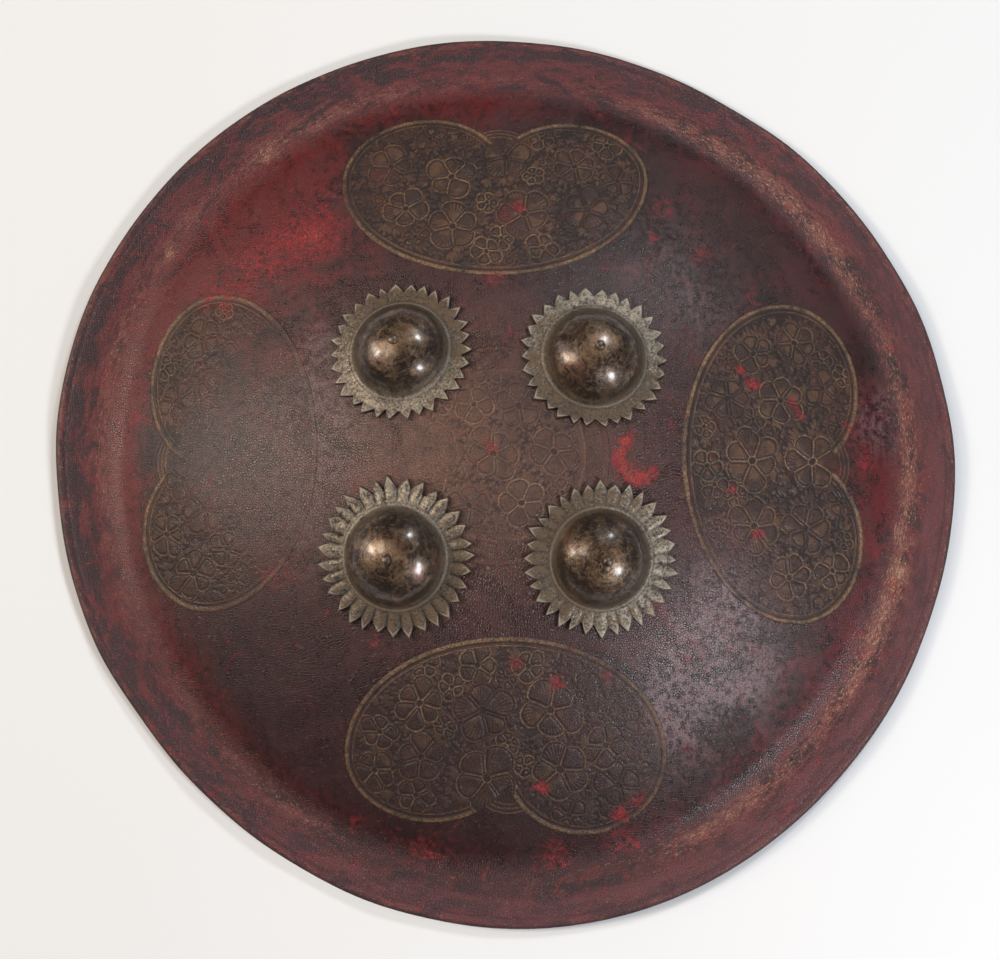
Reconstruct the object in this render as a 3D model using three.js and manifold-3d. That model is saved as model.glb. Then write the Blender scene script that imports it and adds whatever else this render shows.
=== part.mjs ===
// A round moulded hide shield (dhal), lying on its brim with the bosses up. Millimetres, +Z up.
// The hide is one shallow spherical dome that turns through a fillet into a flat brim with a beaded lip.
// Four hollow iron bosses with saw-toothed flanges sit on it, each on one bolt through the hide.
// Behind, each pair of bolts holds one leather grip strap under small round roves.
// The origin is on the ground, under the middle of the outline.
import * as THREE from "three";
import { mergeVertices } from "three/addons/utils/BufferGeometryUtils.js";
import Module from "manifold-3d";

const wasm = await Module();
wasm.setup();

// Driving dimensions
const edgeRadius = 260; // mean radius of the lip
const shieldHeight = 77; // ground to the crown of the dome
const domeRadius = 388; // sphere of the outer face
const hideThickness = 5;
const filletRadius = 30; // concave turn from dome to brim, on the outer face
const lipRadius = 3;
const lipLift = 0.6; // the bead clears the ground
const pieceGap = 0.3; // clearance between touching pieces

// The hide was trimmed by hand: low waves in the edge radius, each with its reach and the bearing of a crest.
const edgeWaves = [
  { count: 2, reach: 4.1, bearing: -40 },
  { count: 3, reach: 2, bearing: 31 },
  { count: 4, reach: 1.1, bearing: 5 },
];
const waveStart = 140; // inside this radius the hide is truly round

// Bosses: place of the bolt in plan, dome at its foot, flange root and tooth tips, number of teeth.
const bosses = [
  { name: "upper_left", x: -54, y: 56, foot: 25.5, height: 19, root: 34.5, tip: 41, teeth: 30 },
  { name: "upper_right", x: 52, y: 52, foot: 26.5, height: 20, root: 35.5, tip: 41.5, teeth: 30 },
  { name: "lower_left", x: -56, y: -57, foot: 26.5, height: 21, root: 37, tip: 44.5, teeth: 31 },
  { name: "lower_right", x: 55, y: -58, foot: 25.5, height: 20, root: 36, tip: 43.5, teeth: 32 },
];
const sheetThickness = 1.2; // beaten iron of the bosses
const footFlare = 2.6; // fillet between a boss and its flange
const toothJitter = 0.05; // share of the tip radius by which hand-cut teeth differ

const shankRadius = 1.4;
const holeRadius = 1.8;
const headRadius = 2.7;
const headHeight = 1.9;
const tailRadius = 3.2;
const tailHeight = 1.5;
const roveRadius = 7.5;
const roveThickness = 1.5;

const strapWidth = 26;
const strapThickness = 4;
const strapBow = 33; // room for a hand under the middle of the strap
const strapEnd = 15; // leather past the bolt
const strapSeat = 11; // from the bolt to where the strap leaves the hide
const strapClearance = 0.9; // the dome curves across the strap's width

const centreHeight = shieldHeight - domeRadius; // height of the dome's own centre
const innerRadius = domeRadius - hideThickness;
const roveFace = hideThickness + strapClearance + strapThickness + 2 * pieceGap; // depth under the outer face

// Materials
const lacquer = new THREE.MeshStandardMaterial({ color: 0x452a2c, roughness: 0.42, metalness: 0 });
const iron = new THREE.MeshStandardMaterial({ color: 0x5a4a3c, roughness: 0.36, metalness: 0.9 });
const strapLeather = new THREE.MeshStandardMaterial({ color: 0x3b2419, roughness: 0.7, metalness: 0 });

const toRadians = THREE.MathUtils.degToRad;

function solidOf(geometry) {
  const bare = geometry.clone();
  bare.deleteAttribute("normal");
  bare.deleteAttribute("uv");
  const merged = mergeVertices(bare, 1e-4);
  const vertProperties = merged.attributes.position.array;
  const triVerts = new Uint32Array(merged.index.array);
  return new wasm.Manifold(new wasm.Mesh({ numProp: 3, vertProperties, triVerts }));
}

function geometryOf(solid) {
  const mesh = solid.getMesh();
  const geometry = new THREE.BufferGeometry();
  geometry.setAttribute("position", new THREE.BufferAttribute(mesh.vertProperties, 3));
  geometry.setIndex(new THREE.BufferAttribute(mesh.triVerts, 1));
  geometry.computeVertexNormals();
  return geometry;
}

// A profile of [radius, height] pairs turned about the Z axis.
function turned(profile, segments) {
  const points = profile.map(([r, z]) => new THREE.Vector2(r, z));
  return new THREE.LatheGeometry(points, segments).rotateX(Math.PI / 2);
}

// Points along an arc, both ends included.
function arc(centreR, centreZ, radius, fromDegrees, toDegrees, steps) {
  return Array.from({ length: steps + 1 }, (_, i) => {
    const angle = toRadians(THREE.MathUtils.lerp(fromDegrees, toDegrees, i / steps));
    return [centreR + radius * Math.cos(angle), centreZ + radius * Math.sin(angle)];
  });
}

// A round cutter along Z, from low to high.
function borer(radius, low, high) {
  const cutter = new THREE.CylinderGeometry(radius, radius, high - low, 12).rotateX(Math.PI / 2);
  return cutter.translate(0, 0, (low + high) / 2);
}

// The frame of one boss: its origin is the dome's centre and its Z axis runs out along the bolt.
function bossDirection(boss) {
  const z = Math.sqrt(domeRadius ** 2 - boss.x ** 2 - boss.y ** 2);
  return new THREE.Vector3(boss.x, boss.y, z).normalize();
}

function turnTowards(direction) {
  return new THREE.Quaternion().setFromUnitVectors(new THREE.Vector3(0, 0, 1), direction);
}

function edgeWave(angle) {
  const reach = (wave) => wave.reach * Math.cos(wave.count * (angle - toRadians(wave.bearing)));
  return edgeWaves.reduce((sum, wave) => sum + reach(wave), 0);
}

// Stretches the hide outwards so that its edge follows the waves.
function trimByHand(geometry) {
  const position = geometry.attributes.position;
  for (let i = 0; i < position.count; i += 1) {
    const x = position.getX(i);
    const y = position.getY(i);
    const share = THREE.MathUtils.smoothstep(Math.hypot(x, y), waveStart, edgeRadius);
    const scale = 1 + (share * edgeWave(Math.atan2(y, x))) / edgeRadius;
    position.setX(i, x * scale);
    position.setY(i, y * scale);
  }
  return geometry;
}

function makeHide() {
  const filletZ = hideThickness + filletRadius;
  const filletR = Math.sqrt((domeRadius + filletRadius) ** 2 - (filletZ - centreHeight) ** 2);
  const tangent = THREE.MathUtils.radToDeg(Math.atan2(filletZ - centreHeight, filletR));
  const lipR = edgeRadius - lipRadius;
  const lipZ = lipLift + lipRadius;
  const outerFace = arc(0, centreHeight, domeRadius, 90, tangent, 8);
  const outerTurn = arc(filletR, filletZ, filletRadius, 180 + tangent, 270, 4);
  const lip = arc(lipR, lipZ, lipRadius, 130, -130, 5);
  const innerTurn = arc(filletR, filletZ, filletRadius + hideThickness, 270, 180 + tangent, 3);
  const innerFace = arc(0, centreHeight, innerRadius, tangent, 90, 10);
  outerFace[0][0] = 0;
  innerFace[innerFace.length - 1][0] = 0;
  const brimFoot = [lipR - 1.5 * lipRadius, 0];
  const profile = [
    ...outerFace,
    ...outerTurn.slice(1),
    ...lip,
    brimFoot,
    ...innerTurn,
    ...innerFace.slice(1),
  ];
  let hide = solidOf(trimByHand(turned(profile.reverse(), 52)));
  for (const boss of bosses) {
    const hole = borer(holeRadius, innerRadius - 5, domeRadius + 5);
    hole.applyQuaternion(turnTowards(bossDirection(boss))).translate(0, 0, centreHeight);
    hide = hide.subtract(solidOf(hole));
  }
  return geometryOf(hide);
}

// The saw-toothed outline of a flange. Each tooth has two full shoulders and a point.
function toothedOutline(boss) {
  const shape = new THREE.Shape();
  const pitch = (2 * Math.PI) / boss.teeth;
  const shoulder = THREE.MathUtils.lerp(boss.root, boss.tip, 0.35);
  const at = (radius, turn) => [radius * Math.cos(turn * pitch), radius * Math.sin(turn * pitch)];
  for (let i = 0; i < boss.teeth; i += 1) {
    const uneven = Math.sin(2.4 * i * i + boss.x) * toothJitter;
    const lean = Math.sin(1.7 * i + boss.y) * 0.1;
    const corner = at(boss.root, i - 0.5);
    if (i === 0) shape.moveTo(...corner);
    else shape.lineTo(...corner);
    shape.lineTo(...at(shoulder, i - 0.33));
    shape.lineTo(...at(boss.tip * (1 + uneven), i + lean));
    shape.lineTo(...at(shoulder, i + 0.33));
  }
  shape.closePath();
  return shape;
}

// A boss in its own frame: its origin is on the hide's outer face, under the crown.
function makeBoss(boss) {
  const flangeTop = (r) => Math.sqrt((domeRadius + pieceGap + sheetThickness) ** 2 - r ** 2) - domeRadius;
  const flangeUnder = (r) => Math.sqrt((domeRadius + pieceGap) ** 2 - r ** 2) - domeRadius;
  const bowl = (radius, height, degrees) => {
    const angle = toRadians(degrees);
    return [radius * Math.cos(angle), height * Math.sin(angle)];
  };
  const bowlInside = boss.foot - sheetThickness;
  const heightInside = boss.height - sheetThickness;
  const rimR = boss.tip * (1 + toothJitter) + 1;
  const footR = boss.foot + footFlare;
  const profile = [
    [holeRadius, boss.height],
    ...[70, 47, 25].map((degrees) => bowl(boss.foot, boss.height, degrees)),
    [boss.foot + 0.25 * footFlare, flangeTop(boss.foot) + footFlare],
    [footR, flangeTop(footR) + 0.4],
    [boss.root, flangeTop(boss.root)],
    [rimR, flangeTop(rimR)],
    [rimR, flangeUnder(rimR)],
    [boss.root, flangeUnder(boss.root)],
    [bowlInside, flangeUnder(bowlInside)],
    ...[25, 60].map((degrees) => bowl(bowlInside, heightInside, degrees)),
    [holeRadius, heightInside],
    [holeRadius, boss.height],
  ];
  const cutter = new THREE.ExtrudeGeometry(toothedOutline(boss), { depth: 60, bevelEnabled: false });
  cutter.translate(0, 0, -20);
  return geometryOf(solidOf(turned(profile.reverse(), 24)).intersect(solidOf(cutter)));
}

// A bolt in the frame of its boss: a small round head on the crown and a hammered tail on the rove.
function makeBolt(boss) {
  const headFoot = boss.height + pieceGap;
  const tailTop = -(roveFace + roveThickness + pieceGap);
  const tailEnd = tailTop - tailHeight;
  const profile = [
    [0, headFoot + headHeight],
    [0.6 * headRadius, headFoot + 0.85 * headHeight],
    [headRadius, headFoot + 0.35 * headHeight],
    [headRadius, headFoot],
    [shankRadius, headFoot],
    [shankRadius, tailTop],
    [tailRadius, tailTop],
    [0.8 * tailRadius, tailEnd + 0.2 * tailHeight],
    [0, tailEnd],
  ];
  return turned(profile.reverse(), 12);
}

function makeRove() {
  const top = -roveFace;
  const bottom = top - roveThickness;
  const bevel = 0.4;
  const profile = [
    [holeRadius, top],
    [roveRadius, top],
    [roveRadius, bottom + bevel],
    [roveRadius - bevel, bottom],
    [holeRadius, bottom],
    [holeRadius, top],
  ];
  return turned(profile.reverse(), 12);
}

// The side outline of a strap about the dome's centre: flat on the hide at both bolts, bowed between them.
function strapOutline(halfAngle) {
  const seat = halfAngle - strapSeat / innerRadius;
  const end = halfAngle + strapEnd / innerRadius;
  const face = innerRadius - strapClearance;
  const steps = 22;
  const point = (angle, depth) => {
    const bowed = Math.abs(angle) < seat ? strapBow * Math.cos((angle / seat) * (Math.PI / 2)) ** 2 : 0;
    const radius = face - bowed - depth;
    return new THREE.Vector2(radius * Math.sin(angle), radius * Math.cos(angle));
  };
  const angles = Array.from({ length: steps + 1 }, (_, i) => THREE.MathUtils.lerp(-end, end, i / steps));
  const top = angles.map((angle) => point(angle, 0));
  const bottom = angles.map((angle) => point(angle, strapThickness)).reverse();
  return new THREE.Shape([...top, ...bottom]);
}

function makeStrap(halfAngle) {
  const band = new THREE.ExtrudeGeometry(strapOutline(halfAngle), { depth: strapWidth, bevelEnabled: false });
  band.translate(0, 0, -strapWidth / 2);
  let strap = solidOf(band);
  for (const side of [-1, 1]) {
    const hole = borer(holeRadius, innerRadius - 20, innerRadius + 10).rotateX(-Math.PI / 2);
    strap = strap.subtract(solidOf(hole.rotateZ(-side * halfAngle)));
  }
  return geometryOf(strap);
}

function named(name, geometry, material) {
  const mesh = new THREE.Mesh(geometry, material);
  mesh.name = name;
  return mesh;
}

const part = new THREE.Group();
const shield = new THREE.Group();
part.add(shield);

const hide = named("hide_shell", makeHide(), lacquer);
shield.add(hide);

for (const boss of bosses) {
  const bossFrame = new THREE.Group();
  bossFrame.position.z = centreHeight;
  bossFrame.quaternion.copy(turnTowards(bossDirection(boss)));
  const pieces = [
    named(`boss_${boss.name}`, makeBoss(boss), iron),
    named(`bolt_${boss.name}`, makeBolt(boss), iron),
    named(`rove_${boss.name}`, makeRove(), iron),
  ];
  for (const piece of pieces) {
    piece.position.z = domeRadius;
    bossFrame.add(piece);
  }
  shield.add(bossFrame);
}

for (const side of ["left", "right"]) {
  const [upper, lower] = ["upper", "lower"].map((row) => {
    return bossDirection(bosses.find((boss) => boss.name === `${row}_${side}`));
  });
  const along = upper.clone().sub(lower).normalize();
  const outward = upper.clone().add(lower).normalize();
  const across = new THREE.Vector3().crossVectors(along, outward);
  const strapFrame = new THREE.Group();
  strapFrame.position.z = centreHeight;
  strapFrame.quaternion.setFromRotationMatrix(new THREE.Matrix4().makeBasis(along, outward, across));
  strapFrame.add(named(`grip_strap_${side}`, makeStrap(upper.angleTo(lower) / 2), strapLeather));
  shield.add(strapFrame);
}

// The hand-trimmed outline isn't centred on the dome, so the shield is moved until its outline is.
const outline = new THREE.Box3().setFromObject(hide);
const middle = outline.getCenter(new THREE.Vector3());
shield.position.set(-middle.x, -middle.y, 0);

export default part;
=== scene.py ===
"""A round moulded hide shield with four saw-toothed iron bosses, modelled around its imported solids.

Lengths in the settings are in metres. Inside the modelling functions plan positions are in millimetres,
measured from the crown of the dome, with +Y towards the upper bosses.
"""

import math

import bmesh
import bpy
import numpy as np
from mathutils import Matrix, Vector


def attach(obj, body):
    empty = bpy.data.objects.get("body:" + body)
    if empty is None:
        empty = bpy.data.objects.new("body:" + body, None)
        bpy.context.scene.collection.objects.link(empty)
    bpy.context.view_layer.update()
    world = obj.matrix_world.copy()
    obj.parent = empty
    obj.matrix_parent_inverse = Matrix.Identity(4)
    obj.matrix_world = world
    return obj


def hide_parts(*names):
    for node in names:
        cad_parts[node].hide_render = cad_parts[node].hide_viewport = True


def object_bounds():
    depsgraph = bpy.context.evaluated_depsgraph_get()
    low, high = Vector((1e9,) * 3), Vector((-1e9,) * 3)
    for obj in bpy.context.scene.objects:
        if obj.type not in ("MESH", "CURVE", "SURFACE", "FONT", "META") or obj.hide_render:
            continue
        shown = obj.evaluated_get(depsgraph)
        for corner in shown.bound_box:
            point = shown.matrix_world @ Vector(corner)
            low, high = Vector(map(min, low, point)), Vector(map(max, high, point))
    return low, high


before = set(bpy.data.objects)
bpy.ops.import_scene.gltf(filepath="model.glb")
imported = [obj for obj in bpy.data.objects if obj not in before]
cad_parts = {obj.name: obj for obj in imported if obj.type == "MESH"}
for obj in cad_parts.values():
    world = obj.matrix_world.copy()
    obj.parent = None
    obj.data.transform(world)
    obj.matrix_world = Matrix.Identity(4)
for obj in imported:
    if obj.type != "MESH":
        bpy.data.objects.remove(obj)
CAD_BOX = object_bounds()

bl_info = {
    "name": "Hide Shield",
    "version": (1, 0, 0),
    "blender": (4, 5, 0),
    "location": "View3D > Sidebar > Shield",
    "description": "Builds a round lacquered hide shield with bosses, stamped panels and hand straps",
    "category": "Add Mesh",
}

MM = 0.001
ROOT = "root"


# ---------------------------------------------------------------------------------------------------------
# Sizes that repeat the solids, in millimetres
# ---------------------------------------------------------------------------------------------------------

DOME_RADIUS = 388.0
HIDE_THICKNESS = 5.0
FILLET_RADIUS = 30.0
LIP_RADIUS = 3.0
LIP_LIFT = 0.6
WAVE_START = 140.0
EDGE_RADIUS = 260.0
PIECE_GAP = 0.3
SHEET = 1.2
HEAD_RADIUS = 2.7
HEAD_HEIGHT = 1.9
SHANK_RADIUS = 1.4
ROVE_RADIUS = 7.5
ROVE_THICKNESS = 1.5
TAIL_RADIUS = 3.2
TAIL_HEIGHT = 1.5
STRAP_WIDTH = 26.0
STRAP_THICKNESS = 4.0
STRAP_BOW = 33.0
STRAP_END = 15.0
STRAP_SEAT = 11.0
STRAP_CLEARANCE = 0.9

# Each boss: its place in plan, the foot and height of its dome, the root and tips of its teeth, their number,
# how far they are chased as separate leaves (0 is a plain saw edge) and the bearing of its cleanest side in
# degrees.
BOSSES = {
    "upper_left": dict(x=-54, y=56, foot=25.5, height=19, root=34.5, tip=41, teeth=30, leaf=0.15, clean=-110),
    "upper_right": dict(x=52, y=52, foot=26.5, height=20, root=35.5, tip=41.5, teeth=30, leaf=0.2, clean=75),
    "lower_left": dict(x=-56, y=-57, foot=26.5, height=21, root=37, tip=44.5, teeth=31, leaf=1.0, clean=115),
    "lower_right": dict(x=55, y=-58, foot=25.5, height=20, root=36, tip=43.5, teeth=32, leaf=0.6, clean=-25),
}

# The solid's edge is read back from its mesh: how far inside EDGE_RADIUS it may come, and its waves. The
# groove inside the lip is worked in the visual hide alone.
DEEPEST_TRIM = 7.5
EDGE_WAVES = range(1, 5)
GROOVE_RADIUS = 254.2

shell_points = np.array([v.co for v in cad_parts["hide_shell"].data.vertices]) / MM
CROWN = shell_points[np.argmax(shell_points[:, 2])]
DOME_CENTRE = np.array([CROWN[0], CROWN[1], CROWN[2] - DOME_RADIUS])


def edge_harmonics():
    """The hand-trimmed edge of the solid as a Fourier series of its radius about the crown."""
    flat = shell_points[:, :2] - CROWN[:2]
    radius = np.hypot(flat[:, 0], flat[:, 1])
    rim = radius > EDGE_RADIUS - DEEPEST_TRIM
    bearing = np.arctan2(flat[rim, 1], flat[rim, 0])
    sectors = 720
    steps = np.round((bearing + np.pi) / (2 * np.pi) * sectors).astype(int)
    outermost = {step: radius[rim][steps == step].max() for step in np.unique(steps)}
    angles = np.array(list(outermost)) / sectors * 2 * np.pi - np.pi
    values = np.array(list(outermost.values()))
    columns = [np.ones_like(angles)]
    for order in EDGE_WAVES:
        columns += [np.cos(order * angles), np.sin(order * angles)]
    return np.linalg.lstsq(np.stack(columns, 1), values, rcond=None)[0]


EDGE = edge_harmonics()


# ---------------------------------------------------------------------------------------------------------
# The hide's outer face as a function of the plan position
# ---------------------------------------------------------------------------------------------------------

def smooth_step(low, high, value):
    share = np.clip((value - low) / (high - low), 0, 1)
    return share * share * (3 - 2 * share)


def bell(away, width):
    """1 in the middle, falling smoothly to nothing a few widths away."""
    return np.exp(-((away / width) ** 2))


def edge_radius(angle):
    """Radius of the lip, with the small flats that a knife leaves."""
    radius = np.full_like(angle, EDGE[0])
    for order in EDGE_WAVES:
        cosine, sine = EDGE[2 * order - 1], EDGE[2 * order]
        radius = radius + cosine * np.cos(order * angle) + sine * np.sin(order * angle)
    waves = ((0.45, 9, 1.0), (0.35, 14, 2.6), (0.22, 23, 0.7))
    flats = sum(height * np.sin(count * angle + shift) for height, count, shift in waves)
    return radius + flats * (0.5 + 0.5 * np.sin(2 * angle + 0.6))


def stretch(radius, angle):
    """Share by which the hand-trimmed hide is wider than a true round at this place."""
    return 1 + smooth_step(WAVE_START, EDGE_RADIUS, radius) * (edge_radius(angle) / EDGE_RADIUS - 1)


def dents(x, y):
    """Slow unevenness of a hide that was moulded and dried by hand, in millimetres."""
    radius = np.hypot(x, y)
    angle = np.arctan2(y, x)
    slow = np.sin(x / 21 + 1.3 * np.sin(y / 34)) * np.sin(y / 26 + 0.9 * np.sin(x / 29) + 0.5)
    slow = slow + 0.6 * np.sin(x / 13 - y / 17 + 2.0 * np.sin(y / 41)) * np.sin(x / 19 + y / 15 + 0.8)
    ripple = 0.9 * np.sin(5 * angle + 0.4) + 0.6 * np.sin(11 * angle + 1.9) + 0.35 * np.sin(19 * angle)
    inner = 0.28 * smooth_step(130, 165, radius) * slow
    trimmed = radius / (edge_radius(angle) / EDGE_RADIUS)
    groove = 0.28 * bell(trimmed - GROOVE_RADIUS, 1.0)
    outer = 0.55 * smooth_step(228, 258, radius) * (ripple + 1.9)
    return inner + outer - groove


def fillet_centre():
    height = HIDE_THICKNESS + FILLET_RADIUS
    reach = math.sqrt((DOME_RADIUS + FILLET_RADIUS) ** 2 - (height - DOME_CENTRE[2]) ** 2)
    return reach, height


FILLET_R, FILLET_Z = fillet_centre()
FOOT_R = FILLET_R * DOME_RADIUS / (DOME_RADIUS + FILLET_RADIUS)


def true_height(radius):
    """Outer face of the round hide before it was trimmed, from the crown to the brim."""
    dome = DOME_CENTRE[2] + np.sqrt(np.maximum(DOME_RADIUS**2 - radius**2, 0))
    turn = FILLET_Z - np.sqrt(np.maximum(FILLET_RADIUS**2 - (radius - FILLET_R) ** 2, 0))
    brim = HIDE_THICKNESS + 0.06 * np.maximum(radius - FILLET_R, 0)
    return np.where(radius < FOOT_R, dome, np.where(radius < FILLET_R, turn, brim))


def face_height(x, y):
    """Height of the finished outer face over a plan position."""
    radius = np.hypot(x, y)
    angle = np.arctan2(y, x)
    round_radius = radius
    for _ in range(4):
        round_radius = radius / stretch(round_radius, angle)
    return true_height(round_radius) + dents(x, y)


# ---------------------------------------------------------------------------------------------------------
# Where the lacquer is worn or dulled, and painted shade and sheen, in millimetres from the crown: x, y, reach
# and strength
# ---------------------------------------------------------------------------------------------------------

RED_PATCHES = [
    # the stain above the upper left boss, and the worn shoulder around it
    (-104, 130, 16, 1.15), (-128, 128, 16, 0.8), (-100, 156, 12, 0.5), (-146, 112, 20, 0.55),
    (-176, 104, 14, 0.5), (-160, 92, 12, 0.45), (-70, 166, 10, 0.4),
    # a crescent beside the right bosses
    *[(76 + 11 * math.cos(a), -3 + 12 * math.sin(a), 3.8, 1.1) for a in np.radians(range(118, 300, 22))],
    (72, -10, 6, 0.6), (82, -11, 4, 0.9),
    # chips in and around the upper panel
    (3, 136, 6, 0.7), (11, 142, 4, 0.9), (-3, 98, 8, 0.6), (92, 145, 8, 0.7), (114, 116, 9, 0.7),
    (86, 126, 4, 1.0),
    # streaks across the right panel
    (133, 47, 3.5, 1.1), (140, 41, 4.5, 1.3), (163, 31, 3.5, 1.1), (168, 24, 3.5, 1.0), (127, -20, 4, 0.8),
    (142, -43, 3.5, 0.9),
    # the right fillet
    (200, 20, 6, 0.8), (207, 0, 7, 0.9), (213, -50, 6, 0.7), (224, -66, 6, 0.7), (203, -94, 8, 0.6),
    # chips in and around the lower panel
    (-68, -102, 4, 1.0), (9, -114, 5, 1.0), (31, -123, 5, 0.9), (58, -122, 4, 0.7), (22, -181, 4.5, 1.1),
    (66, -197, 5, 0.8), (76, -189, 6, 0.6), (84, -86, 9, 0.55), (105, -108, 12, 0.45),
    # rubbed places on the left and around the lower fillet
    (-120, -64, 16, 0.45), (-76, -20, 9, 0.4), (-4, 2, 5, 0.7), (-40, -218, 14, 0.55), (30, -221, 12, 0.65),
    (70, -212, 13, 0.65), (104, -159, 8, 0.4),
]
WARM_REGIONS = [
    (-150, 128, 62, 0.8), (-110, 140, 40, 0.5), (-190, 60, 60, 0.35), (0, 205, 60, 0.3),
    (208, -10, 45, 0.85), (180, -120, 60, 0.3), (-150, -60, 60, 0.3), (120, 120, 60, 0.25),
]
# Painted shade: the lacquer is darkened, mostly towards the bottom and lower left of the dome.
SHADED_REGIONS = [
    (0, -208, 55, 1.2), (-60, -200, 45, 0.9), (60, -208, 40, 0.8), (-130, -110, 60, 0.9),
    (-100, -160, 50, 0.7), (0, -150, 60, 0.5), (128, 128, 45, 0.4), (216, 60, 40, 0.3), (-180, -70, 30, 0.5),
]
# A pink bloom on the lacquer, in part a painted sheen, mostly where the lamps' reflections fall on the dome.
BLOOM_AND_SHEEN_REGIONS = [
    (118, -98, 30, 1.0), (132, -70, 22, 0.7), (100, -120, 22, 0.6), (140, -118, 18, 0.6), (92, 112, 26, 0.5),
    (112, 84, 20, 0.45), (-150, 10, 34, 0.4), (-118, -30, 30, 0.4), (90, -150, 26, 0.9),
    (122, -136, 22, 0.6), (-98, 20, 34, 0.6), (-100, 62, 22, 0.4), (216, 26, 16, 0.8),
]
RUBBED_RIM = [
    (226, -38, 3.5, 1.6), (229, -62, 4, 1.3), (231, -80, 3, 1.5), (-140, 186, 5, 1.0), (-196, 128, 4, 1.0),
    (215, -95, 80, 1.0), (190, 135, 70, 0.75), (120, 200, 60, 0.6), (-205, 60, 110, 0.45),
    (-130, -195, 60, 0.4), (120, -200, 70, 0.65), (-110, 205, 70, 0.5), (228, 20, 60, 0.6),
]


def blobs(x, y, places):
    total = np.zeros_like(x)
    for px, py, reach, strength in places:
        total = total + strength * np.exp(-((x - px) ** 2 + (y - py) ** 2) / reach**2)
    return total


def hide_marks(x, y):
    """The share of each kind of wear over plan positions, as named fields for the hide's finish."""
    bearing = np.arctan2(y, x)
    radius = np.hypot(x, y) / (edge_radius(bearing) / EDGE_RADIUS)
    ring = bell(radius - 234, 8.5)
    lip = smooth_step(253, 259, radius)
    rubbed = blobs(x, y, RUBBED_RIM)

    def facing(degrees, sharpness):
        return (0.5 + 0.5 * np.cos(bearing - math.radians(degrees))) ** sharpness

    left_side = facing(163, 3)
    low_side = facing(-78, 5)
    right_side = facing(-35, 1.5)
    warm_ring = bell(radius - 221, 14) * (left_side + 0.35 * low_side + 0.15)
    return {
        "middle": bell(x + 12, 78) * bell(y + 2, 62),
        # darker on the outer face of the lip and in the groove inside it
        "edge": smooth_step(257.6, 259.4, radius) * 0.9 + 0.6 * bell(radius - GROOVE_RADIUS, 0.6),
        "red": np.clip(blobs(x, y, RED_PATCHES), 0, 1.3),
        "warm": np.clip(blobs(x, y, WARM_REGIONS) + warm_ring, 0, 1),
        "rub": np.clip(ring * (0.25 + 0.75 * rubbed) + lip * (0.45 + 0.4 * rubbed), 0, 1.8),
        "mauve": smooth_step(238, 247, radius) * right_side,
        # shade is painted shade; bloom is a pink bloom that is in part a painted sheen
        "shade": np.clip(blobs(x, y, SHADED_REGIONS), 0, 1) * (1 - smooth_step(240, 248, radius)),
        "bloom": np.clip(blobs(x, y, BLOOM_AND_SHEEN_REGIONS), 0, 1),
        "rim": smooth_step(222, 234, radius),
        "outer": smooth_step(240, 250, radius) * (1 - 0.8 * right_side),
    }


# ---------------------------------------------------------------------------------------------------------
# Meshes
# ---------------------------------------------------------------------------------------------------------

def coordinates(bm):
    return np.array([v.co for v in bm.verts])


def place(bm, points):
    for vert, point in zip(bm.verts, points):
        vert.co = point


def into_frame(points):
    """Millimetres from the crown's foot to metres in the frame."""
    return (points + np.array([CROWN[0], CROWN[1], 0])) * MM


def finish_piece(name, bm, material, replaced=(), marks=None, sharp_degrees=None):
    """Turns a bmesh into a piece of the shield that rides on it and stands for the named nodes."""
    if not bm.faces:
        raise RuntimeError(f"{name} came out empty")
    if sharp_degrees is not None:
        limit = math.radians(sharp_degrees)
        for edge in bm.edges:
            if len(edge.link_faces) == 2 and edge.calc_face_angle() > limit:
                edge.smooth = False
    mesh = bpy.data.meshes.new(name)
    bm.to_mesh(mesh)
    bm.free()
    mesh.polygons.foreach_set("use_smooth", np.ones(len(mesh.polygons), bool))
    for field, values in (marks or {}).items():
        attribute = mesh.attributes.new(field, "FLOAT", "POINT")
        attribute.data.foreach_set("value", np.asarray(values, np.float32))
    mesh.materials.append(material)
    mesh.update()
    piece = bpy.data.objects.new(name, mesh)
    bpy.context.scene.collection.objects.link(piece)
    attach(piece, ROOT)
    if replaced:
        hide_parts(*replaced)
    return piece


def turned(profile, steps, closed=False):
    """A bmesh of a profile of (radius, height) pairs turned about the Z axis."""
    bm = bmesh.new()
    verts = [bm.verts.new((radius, 0, height)) for radius, height in profile]
    edges = [bm.edges.new(pair) for pair in zip(verts, verts[1:])]
    if closed:
        edges.append(bm.edges.new((verts[-1], verts[0])))
    bmesh.ops.spin(
        bm, geom=verts + edges, axis=(0, 0, 1), cent=(0, 0, 0), angle=2 * math.pi, steps=steps,
        use_merge=True,
    )
    bmesh.ops.remove_doubles(bm, verts=bm.verts, dist=1e-5)
    bmesh.ops.recalc_face_normals(bm, faces=bm.faces)
    return bm


def arc(centre, radius, start, stop, steps, ends=True):
    """Points on an arc of the profile plane, by angles in degrees."""
    angles = np.radians(np.linspace(start, stop, steps + 1))
    points = [(centre[0] + radius * math.cos(a), centre[1] + radius * math.sin(a)) for a in angles]
    return points if ends else points[1:]


# ---------------------------------------------------------------------------------------------------------
# Shader building
# ---------------------------------------------------------------------------------------------------------

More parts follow.
